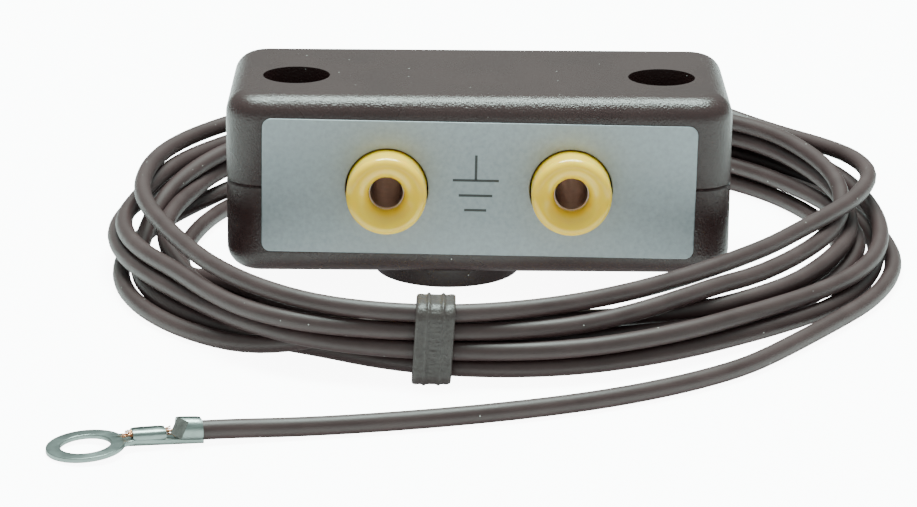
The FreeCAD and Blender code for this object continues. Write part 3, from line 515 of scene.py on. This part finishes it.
def grown(name, group, values):
    """Runs a Geometry Nodes tree on an empty mesh and returns the plain mesh that it makes."""
    seed = bpy.data.objects.new(name, bpy.data.meshes.new(name))
    bpy.context.scene.collection.objects.link(seed)
    modifier = seed.modifiers.new(name, "NODES")
    modifier.node_group = group
    for item in group.interface.items_tree:
        if item.in_out == "INPUT" and item.name in values:
            modifier[item.identifier] = values[item.name]
    bpy.context.view_layer.update()
    evaluated = seed.evaluated_get(bpy.context.evaluated_depsgraph_get())
    mesh = bpy.data.meshes.new_from_object(evaluated)
    bpy.data.objects.remove(seed)
    return mesh


def ring_stack():
    """Rings along Y, each narrower than the last, on a tapered piece."""
    group = bpy.data.node_groups.new("ring_stack", "GeometryNodeTree")
    number(group, "First Radius", 0.0026)
    number(group, "Last Radius", 0.0018)
    number(group, "Ring Thickness", 0.0004)
    number(group, "Start", 0.0165)
    number(group, "Spacing", 0.001)
    whole_number(group, "Rings", 3)
    group.interface.new_socket("Surface", in_out="INPUT", socket_type="NodeSocketMaterial")
    group.interface.new_socket("Geometry", in_out="OUTPUT", socket_type="NodeSocketGeometry")
    make, link = group.nodes.new, group.links.new
    inside, outside = make("NodeGroupInput"), make("NodeGroupOutput")
    row = make("GeometryNodeMeshLine")
    link(inside.outputs["Rings"], row.inputs["Count"])
    first, step = make("ShaderNodeCombineXYZ"), make("ShaderNodeCombineXYZ")
    link(inside.outputs["Start"], first.inputs["Y"])
    link(inside.outputs["Spacing"], step.inputs["Y"])
    link(first.outputs["Vector"], row.inputs["Start Location"])
    link(step.outputs["Vector"], row.inputs["Offset"])
    # Each ring is made 1 m in radius and scaled, so its section is scaled back first.
    circle = make("GeometryNodeCurvePrimitiveCircle")
    circle.inputs["Resolution"].default_value = 48
    circle.inputs["Radius"].default_value = 1.0
    thin = make("ShaderNodeMath")
    thin.operation = "DIVIDE"
    link(inside.outputs["Ring Thickness"], thin.inputs[0])
    link(inside.outputs["First Radius"], thin.inputs[1])
    section = make("GeometryNodeCurvePrimitiveCircle")
    section.inputs["Resolution"].default_value = 12
    link(thin.outputs["Value"], section.inputs["Radius"])
    ring = make("GeometryNodeCurveToMesh")
    link(circle.outputs["Curve"], ring.inputs["Curve"])
    link(section.outputs["Curve"], ring.inputs["Profile Curve"])
    index = make("GeometryNodeInputIndex")
    last = make("ShaderNodeMath")
    last.operation = "SUBTRACT"
    last.inputs[1].default_value = 1.0
    link(inside.outputs["Rings"], last.inputs[0])
    size = make("ShaderNodeMapRange")
    link(index.outputs["Index"], size.inputs["Value"])
    link(last.outputs["Value"], size.inputs["From Max"])
    link(inside.outputs["First Radius"], size.inputs["To Min"])
    link(inside.outputs["Last Radius"], size.inputs["To Max"])
    placed = make("GeometryNodeInstanceOnPoints")
    placed.inputs["Rotation"].default_value = (math.pi / 2, 0.0, 0.0)
    link(row.outputs["Mesh"], placed.inputs["Points"])
    link(ring.outputs["Mesh"], placed.inputs["Instance"])
    link(size.outputs["Result"], placed.inputs["Scale"])
    real = make("GeometryNodeRealizeInstances")
    link(placed.outputs["Instances"], real.inputs["Geometry"])
    coat = make("GeometryNodeSetMaterial")
    link(real.outputs["Geometry"], coat.inputs["Geometry"])
    link(inside.outputs["Surface"], coat.inputs["Material"])
    link(coat.outputs["Geometry"], outside.inputs["Geometry"])
    return group


ring_mesh = grown("bushing_rings", ring_stack(), {
    "First Radius": 0.00262, "Last Radius": 0.00196, "Ring Thickness": 0.0003,
    "Start": 0.0166, "Spacing": 0.00095, "Surface": CORD_BLACK,
})
ring_mesh.transform(Matrix.Translation((0.0, 0.0, LEAD[0][2])))
bushing_rings = bpy.data.objects.new("bushing_rings", ring_mesh)
bpy.context.scene.collection.objects.link(bushing_rings)
paint(bushing_rings, CORD_BLACK)
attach(bushing_rings, "root")

# ---------------------------------------------------------------- snap socket
# A nickel-plated socket for a mat's 10 mm stud, set in the boss under the casing, with a split
# spring that grips the stud. Its eyelet holds a lug with a green wire to the jacks.
WIRE_GREEN = finish(
    "wire_green", light=(0.05, 0.26, 0.09), dark=(0.03, 0.19, 0.06), rough=(0.32, 0.46),
    grain=3000.0, blotch=400.0, relief=0.00001,
)
for name in ("snap_socket", "snap_eyelet"):
    paint(nodes[name], NICKEL)
paint(nodes["snap_spring"], STEEL)
paint(nodes["snap_lug"], TINNED_BRASS)
paint(nodes["snap_wire"], WIRE_GREEN)
paint(nodes["snap_wire_core"], COPPER)

# ---------------------------------------------------------------- coil tie
# A strip of soft black plastic with two wires moulded in, which show as ridges. It is bent once
# round the seven strands, a little slanted, and its end overlaps its start at the back.
TIE_BLACK = finish(
    "tie_black", light=(0.060, 0.046, 0.043), dark=(0.032, 0.019, 0.018), rough=(0.34, 0.50),
    grain=2600.0, blotch=900.0, relief=0.00012, dust=(0.45, 0.47, 0.44),
)
TIE_LEAN = 0.057
TIE_SHIFT = 0.0004
# The strands pack lower than the loop's room, and the strip lies flat where it meets the bench.
TIE_SLACK = 0.0008
TIE_LOWEST = 0.00004
TIE_STRIP = 0.00042
TIE_CORNER = 0.0016
TIE_OVERLAP = 0.0058
TIE_STEP = 0.00014
TIE_RIB = 0.00056
TIE_RIB_DEPTH = 0.00003
TIE_RIBBED_HALF = 0.0006
TIE_LUMP = 0.00017
TIE_LUMPS_ACROSS = 420.0
TIE_LUMPS_ALONG = 260.0
TIE_LUMP_SEED = 3.7
# Where the end climbs onto the start: how far before the overlap, over what run, how high.
TIE_CLIMB_BEFORE = 0.0022
TIE_CLIMB_RUN = 0.0020
TIE_CLIMB_HEIGHT = TIE_STRIP * 1.25
# Half of the strip's section, from its middle to its edge: (distance across, height outside).
TIE_SECTION = [
    (0.0, 0.00020), (0.00030, 0.00020), (0.00058, 0.00022), (0.00070, 0.00036), (0.00085, 0.00046),
    (0.00100, 0.00036), (0.00112, 0.00022), (0.00140, 0.00022), (0.00175, 0.00026),
    (0.00205, 0.00021), (0.00224, 0.00010), (0.00230, -0.00008), (0.00218, -0.00021),
    (0.00150, -0.00021), (0.00070, -0.00021), (0.0, -0.00021),
]
tie_low, tie_high = (Vector(corner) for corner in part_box("coil_tie"))
tie_high.z -= TIE_SLACK
tie_middle = (tie_low + tie_high) / 2
half_y = (tie_high.y - tie_low.y) / 2 - TIE_STRIP / 2
half_z = (tie_high.z - tie_low.z) / 2 - TIE_STRIP / 2


def loop_place(run, outset):
    """A point of the rounded loop, run metres from the back's top, raised by outset.

    With it come its outward direction and the length of the whole loop.
    """
    radius = TIE_CORNER + outset
    sides = []
    for across, up, length in ((0, -1, half_z), (-1, 0, half_y), (0, 1, half_z), (1, 0, half_y)):
        sides.append((across, up, 2 * (length - TIE_CORNER)))
    corner = math.pi / 2 * TIE_CORNER
    total = sum(side[2] for side in sides) + 4 * corner
    run %= total
    for across, up, length in sides:
        normal = Vector((-up, across))
        along = Vector((across, up))
        out = half_y if up else half_z
        reach = (half_z if up else half_y) - TIE_CORNER
        if run <= length:
            return normal * (out + outset) + along * (run - reach), normal, total
        run -= length
        if run <= corner:
            turned = run / TIE_CORNER
            facing = normal * math.cos(turned) + along * math.sin(turned)
            centre = normal * (out - TIE_CORNER) + along * reach
            return centre + facing * radius, facing, total
        run -= corner


section = TIE_SECTION + [(-across, up) for across, up in reversed(TIE_SECTION[1:-1])]
whole_loop = loop_place(0.0, 0.0)[2]
strip_run = whole_loop + TIE_OVERLAP
stations = round(strip_run / TIE_STEP)
strip = bmesh.new()
rings = []
for i in range(stations + 1):
    run = strip_run * i / stations
    climb = min(max((run - whole_loop + TIE_CLIMB_BEFORE) / TIE_CLIMB_RUN, 0.0), 1.0)
    outset = TIE_CLIMB_HEIGHT * climb * climb * (3 - 2 * climb)
    place, facing, _ = loop_place(run, outset)
    rib = TIE_RIB_DEPTH * (0.5 + 0.5 * math.cos(2 * math.pi * run / TIE_RIB))
    ring = []
    for across, up in section:
        lift = up
        if up > 0:
            spot = Vector((across * TIE_LUMPS_ACROSS, run * TIE_LUMPS_ALONG, TIE_LUMP_SEED))
            lift += noise.noise(spot) * TIE_LUMP
            lift += rib if abs(across) < TIE_RIBBED_HALF else 0.0
        y = tie_middle.y + place.x + facing.x * lift
        z = tie_middle.z + place.y + facing.y * lift
        x = tie_middle.x + TIE_SHIFT + across + (z - tie_middle.z) * TIE_LEAN
        ring.append(strip.verts.new((x, y, max(z, TIE_LOWEST))))
    rings.append(ring)
for before, after in zip(rings, rings[1:]):
    for j in range(len(section)):
        k = (j + 1) % len(section)
        strip.faces.new((before[j], before[k], after[k], after[j]))
strip.faces.new(rings[0])
strip.faces.new(rings[-1])
bmesh.ops.recalc_face_normals(strip, faces=strip.faces)
for face in strip.faces:
    face.smooth = True
tie_mesh = bpy.data.meshes.new("tie_strip")
strip.to_mesh(tie_mesh)
strip.free()
tie_strip = bpy.data.objects.new("tie_strip", tie_mesh)
bpy.context.scene.collection.objects.link(tie_strip)
paint(tie_strip, TIE_BLACK)
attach(tie_strip, "root")
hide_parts("coil_tie")

# ---------------------------------------------------------------- ring terminal
# Stamped from tinned brass strip: a ring and neck, a barrel crimped flat on the bare strands,
# and a grip bent round the cord's jacket, with one ear of it left standing up.
TERMINAL_CENTRE = Vector((-0.0436, -0.0702, 0.0))
TERMINAL_TURN = math.radians(15.9)
RING_OUTER = 0.0043
RING_HOLE = 0.0029
PLATE_FOOT = 0.00005
PLATE = 0.0006
PLATE_EDGE = 0.00009
NECK = 0.00100
BARREL = (0.0052, 0.0089)
GRIP = (0.0103, 0.0130)
TERMINAL_SHARP = math.radians(38)
# The terminal lies on its ring's far edge and rises to the barrel: (along, height) in metres.
RISE = [
    (-0.0047, 0.00005), (0.0052, 0.00075), (0.0089, 0.00068), (0.0103, 0.00035), (0.0134, 0.00010),
]
terminal_place = Matrix.Translation(TERMINAL_CENTRE) @ Matrix.Rotation(TERMINAL_TURN, 4, "Z")


def flat_stamping(name, outlines, low, high, edge):
    """A flat plate from closed outlines in XY, holes among them, with rounded edges."""
    drawing = bpy.data.curves.new(name, "CURVE")
    drawing.dimensions = "2D"
    drawing.fill_mode = "BOTH"
    drawing.extrude = (high - low) / 2 - edge
    drawing.bevel_depth = edge
    drawing.bevel_resolution = 2
    for outline in outlines:
        spline = drawing.splines.new("POLY")
        spline.points.add(len(outline) - 1)
        for point, (x, y) in zip(spline.points, outline):
            point.co = (x, y, 0.0, 1.0)
        spline.use_cyclic_u = True
    holder = bpy.data.objects.new(name, drawing)
    bpy.context.scene.collection.objects.link(holder)
    bpy.context.view_layer.update()
    evaluated = holder.evaluated_get(bpy.context.evaluated_depsgraph_get())
    mesh = bpy.data.meshes.new_from_object(evaluated)
    bpy.data.objects.remove(holder)
    mesh.transform(Matrix.Translation((0.0, 0.0, (high + low) / 2)))
    return mesh


def swept(name, section, start, end, rings, swell):
    """A closed section in YZ swept along X, its ends drawn in by the amount swell."""
    form = bmesh.new()
    rows = []
    for i in range(rings + 1):
        t = i / rings
        shrink = 1 - swell * (2 * t - 1) ** 6
        middle = sum(z for _, z in section) / len(section)
        row = [form.verts.new((start + (end - start) * t, y * shrink, middle + (z - middle) * shrink))
               for y, z in section]
        rows.append(row)
    for before, after in zip(rows, rows[1:]):
        for j in range(len(section)):
            k = (j + 1) % len(section)
            form.faces.new((before[j], before[k], after[k], after[j]))
    form.faces.new(rows[0])
    form.faces.new(rows[-1])
    bmesh.ops.recalc_face_normals(form, faces=form.faces)
    mesh = bpy.data.meshes.new(name)
    form.to_mesh(mesh)
    form.free()
    return mesh


# The neck leaves the ring where the circle is as wide as the neck's root, and narrows to the
# barrel: (along, half width) in metres.
neck_start = math.radians(21)
neck_half = [(0.00485, 0.00122), (0.0052, 0.00104), (0.0057, NECK), (GRIP[1], NECK)]
ring_outline = [
    (RING_OUTER * math.cos(a), RING_OUTER * math.sin(a))
    for a in np.linspace(neck_start, 2 * math.pi - neck_start, 73)
]
neck_outline = [(along, -half) for along, half in neck_half]
neck_outline += [(along, half) for along, half in reversed(neck_half)]
hole_outline = [
    (RING_HOLE * math.cos(a), RING_HOLE * math.sin(a)) for a in np.linspace(0, 2 * math.pi, 65)[:-1]
]
plate_outlines = [ring_outline + neck_outline, hole_outline]
stamping = flat_stamping("ring_plate", plate_outlines, PLATE_FOOT, PLATE, PLATE_EDGE)


def wrap_section(half_width, height, wall, slit, square=2.6):
    """A strip bent into a rounded box, open at a slit on top: its outline in YZ.

    slit is half the opening in degrees, and the higher square is, the sharper the corners.
    """
    outline = []
    middle = PLATE_FOOT + height / 2
    for inset, order in ((0.0, 1), (wall, -1)):
        angles = np.linspace(math.radians(90 + slit), math.radians(450 - slit), 41)[::order]
        for a in angles:
            c, s = math.cos(a), math.sin(a)
            y = (half_width - inset) * math.copysign(abs(c) ** (2 / square), c)
            z = (height / 2 - inset) * math.copysign(abs(s) ** (2 / square), s)
            outline.append((y, middle + z))
    return outline


barrel_section = wrap_section(half_width=0.00116, height=0.00148, wall=0.00038, slit=5.0)
barrel_mesh = swept("barrel", barrel_section, *BARREL, rings=12, swell=0.10)
grip_section = wrap_section(half_width=0.00142, height=0.00275, wall=0.00032, slit=8.0, square=2.2)
grip_mesh = swept("grip", grip_section, *GRIP, rings=12, swell=0.04)
# The standing ear is coloured dark grey: a painted dark reflection, where its tin mirrors the dark
# surroundings.
DARK_REFLECTION_TIN = finish(
    "dark_reflection_tin", light=(0.15, 0.15, 0.14), dark=(0.08, 0.075, 0.07), rough=(0.50, 0.68),
    grain=5200.0, blotch=1500.0, relief=0.00005, Metallic=0.6,
)
EAR_SIZE = (0.00128, 0.00028, 0.0022)
EAR_PLACE = Vector((0.01025, -0.00158, 0.00205))
EAR_LEAN = math.radians(27)
EAR_TILT = math.radians(-12)
EAR_CURL = 0.0002
EAR_DENTS = 0.00008
EAR_DENTS_PER_METRE = 2600.0
ear = bmesh.new()
bmesh.ops.create_cube(ear, size=1.0)
bmesh.ops.subdivide_edges(ear, edges=ear.edges, cuts=5, use_grid_fill=True)
bmesh.ops.scale(ear, vec=EAR_SIZE, verts=ear.verts)
for vert in ear.verts:
    curl = (vert.co.z / EAR_SIZE[2]) ** 2 * EAR_CURL
    vert.co.y += noise.noise(vert.co * EAR_DENTS_PER_METRE) * EAR_DENTS - curl
ear_mesh = bpy.data.meshes.new("ear")
ear.to_mesh(ear_mesh)
ear.free()
ear_mesh.transform(
    Matrix.Translation(EAR_PLACE) @ Matrix.Rotation(EAR_LEAN, 4, "Y")
    @ Matrix.Rotation(EAR_TILT, 4, "X")
)


def laid_piece(name, meshes, material):
    """Joins meshes in the terminal's own frame, raises them by RISE and lays them on the bench."""
    whole = bmesh.new()
    for mesh in meshes:
        whole.from_mesh(mesh)
    along, height = zip(*RISE)
    for vert in whole.verts:
        vert.co.z += np.interp(vert.co.x, along, height)
    bmesh.ops.remove_doubles(whole, verts=whole.verts, dist=SAME_PLACE / 2)
    bmesh.ops.recalc_face_normals(whole, faces=whole.faces)
    for face in whole.faces:
        face.smooth = True
    joined = bpy.data.meshes.new(name)
    whole.to_mesh(joined)
    whole.free()
    joined.set_sharp_from_angle(angle=TERMINAL_SHARP)
    joined.transform(terminal_place)
    piece = bpy.data.objects.new(name, joined)
    bpy.context.scene.collection.objects.link(piece)
    paint(piece, material)
    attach(piece, "root")
    return piece


crimped_terminal = laid_piece(
    "crimped_terminal", (stamping, barrel_mesh, grip_mesh), TINNED_BRASS,
)
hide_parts("ring_terminal")
grip_ear = laid_piece("grip_ear", (ear_mesh,), DARK_REFLECTION_TIN)


def strand_bundle():
    """Fine wires that start in a small square in YZ and run along X, spread and a little bent."""
    group = bpy.data.node_groups.new("strand_bundle", "GeometryNodeTree")
    number(group, "Bundle Radius", 0.0004)
    number(group, "Strand Radius", 0.00007)
    number(group, "Length", 0.0015)
    number(group, "Spread", 0.5)
    number(group, "Waviness", 0.0002)
    whole_number(group, "Strands", 12)
    whole_number(group, "Seed", 3)
    group.interface.new_socket("Surface", in_out="INPUT", socket_type="NodeSocketMaterial")
    group.interface.new_socket("Geometry", in_out="OUTPUT", socket_type="NodeSocketGeometry")
    make, link = group.nodes.new, group.links.new
    inside, outside = make("NodeGroupInput"), make("NodeGroupOutput")

    def scaled(vector, amount):
        times = make("ShaderNodeVectorMath")
        times.operation = "SCALE"
        link(vector, times.inputs[0])
        link(amount, times.inputs["Scale"])
        return times.outputs["Vector"]

    starts = make("FunctionNodeRandomValue")
    starts.data_type = "FLOAT_VECTOR"
    starts.inputs["Min"].default_value = (0.0, -0.7, -0.7)
    starts.inputs["Max"].default_value = (0.0, 0.7, 0.7)
    link(inside.outputs["Seed"], starts.inputs["Seed"])
    points = make("GeometryNodePoints")
    link(inside.outputs["Strands"], points.inputs["Count"])
    link(scaled(starts.outputs["Value"], inside.outputs["Bundle Radius"]), points.inputs["Position"])
    end = make("ShaderNodeCombineXYZ")
    link(inside.outputs["Length"], end.inputs["X"])
    line = make("GeometryNodeCurvePrimitiveLine")
    link(end.outputs["Vector"], line.inputs["End"])
    pieces = make("GeometryNodeResampleCurve")
    pieces.inputs["Count"].default_value = 9
    link(line.outputs["Curve"], pieces.inputs["Curve"])
    turns = make("FunctionNodeRandomValue")
    turns.data_type = "FLOAT_VECTOR"
    turns.inputs["Min"].default_value = (0.0, -1.0, -1.0)
    turns.inputs["Max"].default_value = (0.0, 0.5, 1.0)
    link(inside.outputs["Seed"], turns.inputs["Seed"])
    lengths = make("FunctionNodeRandomValue")
    lengths.inputs["Min"].default_value = 0.55
    lengths.inputs["Max"].default_value = 1.0
    link(inside.outputs["Seed"], lengths.inputs["Seed"])
    placed = make("GeometryNodeInstanceOnPoints")
    link(points.outputs["Geometry"], placed.inputs["Points"])
    link(pieces.outputs["Curve"], placed.inputs["Instance"])
    link(scaled(turns.outputs["Value"], inside.outputs["Spread"]), placed.inputs["Rotation"])
    link(lengths.outputs["Value"], placed.inputs["Scale"])
    real = make("GeometryNodeRealizeInstances")
    link(placed.outputs["Instances"], real.inputs["Geometry"])
    where = make("GeometryNodeInputPosition")
    wave = make("ShaderNodeTexNoise")
    wave.inputs["Scale"].default_value = 1400.0
    link(where.outputs["Position"], wave.inputs["Vector"])
    centred = make("ShaderNodeVectorMath")
    centred.operation = "SUBTRACT"
    centred.inputs[1].default_value = (0.5, 0.5, 0.5)
    link(wave.outputs["Color"], centred.inputs[0])
    bent = make("GeometryNodeSetPosition")
    link(real.outputs["Geometry"], bent.inputs["Geometry"])
    link(scaled(centred.outputs["Vector"], inside.outputs["Waviness"]), bent.inputs["Offset"])
    round_section = make("GeometryNodeCurvePrimitiveCircle")
    round_section.inputs["Resolution"].default_value = 8
    link(inside.outputs["Strand Radius"], round_section.inputs["Radius"])
    wires = make("GeometryNodeCurveToMesh")
    wires.inputs["Fill Caps"].default_value = True
    link(bent.outputs["Geometry"], wires.inputs["Curve"])
    link(round_section.outputs["Curve"], wires.inputs["Profile Curve"])
    coat = make("GeometryNodeSetMaterial")
    link(wires.outputs["Mesh"], coat.inputs["Geometry"])
    link(inside.outputs["Surface"], coat.inputs["Material"])
    link(coat.outputs["Geometry"], outside.inputs["Geometry"])
    return group


STRANDS = strand_bundle()
# Ends that escaped the barrel at the neck, ends cut ragged behind it, and the strands within:
# (start along, height, turn, strands, length, spread, waviness, seed).
BUNDLES = [
    (0.0053, 0.00100, math.pi, 9, 0.0014, 0.55, 0.0005, 4),
    (0.0089, 0.00110, 0.0, 8, 0.0014, 0.50, 0.0005, 9),
    (0.0050, 0.00082, 0.0, 16, 0.0058, 0.02, 0.0002, 2),
]
strand_meshes = []
for start, up, turn, count, length, spread, waviness, seed in BUNDLES:
    mesh = grown("strands", STRANDS, {
        "Strands": count, "Length": length, "Spread": spread, "Waviness": waviness, "Seed": seed,
        "Surface": COPPER,
    })
    mesh.transform(Matrix.Translation((start, 0.0, up)) @ Matrix.Rotation(turn, 4, "Z"))
    strand_meshes.append(mesh)
terminal_strands = laid_piece("terminal_strands", strand_meshes, COPPER)
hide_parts("terminal_core")

# ---------------------------------------------------------------- bench and light
# A white light table under a white light tent, so that the dark plastic shows its edges. Both
# look white to the camera alone, and the tent is darker near the table than overhead.
TABLE_SEEN = 9.0
TABLE_GLOW = 0.4
TENT_LOW = 0.35
TENT_HIGH = 0.85
TENT_TOP = 0.7
TENT_COLOUR = (0.82, 1.0, 0.95, 1.0)
TABLE_WHITE = (0.80, 0.80, 0.80, 1.0)
TABLE_HALF = 3.0
bench_mesh = bpy.data.meshes.new("bench")
maker = bmesh.new()
bmesh.ops.create_grid(maker, x_segments=1, y_segments=1, size=TABLE_HALF)
maker.to_mesh(bench_mesh)
maker.free()
bench = bpy.data.objects.new("bench", bench_mesh)
bpy.context.scene.collection.objects.link(bench)
white = bpy.data.materials.new("bench_white")
white.use_nodes = True
table = white.node_tree.nodes["Principled BSDF"]
table.inputs["Base Color"].default_value = TABLE_WHITE
table.inputs["Roughness"].default_value = 0.9
table.inputs["Emission Color"].default_value = (1.0, 1.0, 1.0, 1.0)
seen = white.node_tree.nodes.new("ShaderNodeLightPath")
glow = white.node_tree.nodes.new("ShaderNodeMix")
glow.data_type = "FLOAT"
glow.inputs["A"].default_value = TABLE_GLOW
glow.inputs["B"].default_value = TABLE_SEEN
white.node_tree.links.new(seen.outputs["Is Camera Ray"], glow.inputs["Factor"])
white.node_tree.links.new(glow.outputs["Result"], table.inputs["Emission Strength"])
bench_mesh.materials.append(white)

world = bpy.data.worlds.new("light_tent")
bpy.context.scene.world = world
world.use_nodes = True
tent = world.node_tree
sky = tent.nodes["Background"]
sky.inputs["Color"].default_value = TENT_COLOUR
towards = tent.nodes.new("ShaderNodeTexCoord")
upward = tent.nodes.new("ShaderNodeSeparateXYZ")
tent.links.new(towards.outputs["Generated"], upward.inputs["Vector"])
brightness = tent.nodes.new("ShaderNodeMapRange")
brightness.inputs["From Min"].default_value = 0.0
brightness.inputs["From Max"].default_value = TENT_TOP
brightness.inputs["To Min"].default_value = TENT_LOW
brightness.inputs["To Max"].default_value = TENT_HIGH
tent.links.new(upward.outputs["Z"], brightness.inputs["Value"])
eye = tent.nodes.new("ShaderNodeLightPath")
strength = tent.nodes.new("ShaderNodeMix")
strength.data_type = "FLOAT"
strength.inputs["B"].default_value = TABLE_SEEN
tent.links.new(eye.outputs["Is Camera Ray"], strength.inputs["Factor"])
tent.links.new(brightness.outputs["Result"], strength.inputs["A"])
tent.links.new(strength.outputs["Result"], sky.inputs["Strength"])


def softbox(name, place, aim, size, watts, colour):
    """A rectangular area light at a place, turned to its aim."""
    light = bpy.data.lights.new(name, "AREA")
    light.shape = "RECTANGLE"
    light.size, light.size_y = size
    light.energy = watts
    light.color = colour
    lamp = bpy.data.objects.new(name, light)
    bpy.context.scene.collection.objects.link(lamp)
    turn = (Vector(aim) - Vector(place)).to_track_quat("-Z", "Y").to_matrix().to_4x4()
    lamp.matrix_world = Matrix.Translation(Vector(place)) @ turn


softbox(
    "top_light", place=(0.0, 0.10, 0.60), aim=(0.0, 0.0, 0.0), size=(0.42, 0.22), watts=12.0,
    colour=(0.80, 1.0, 0.94),
)
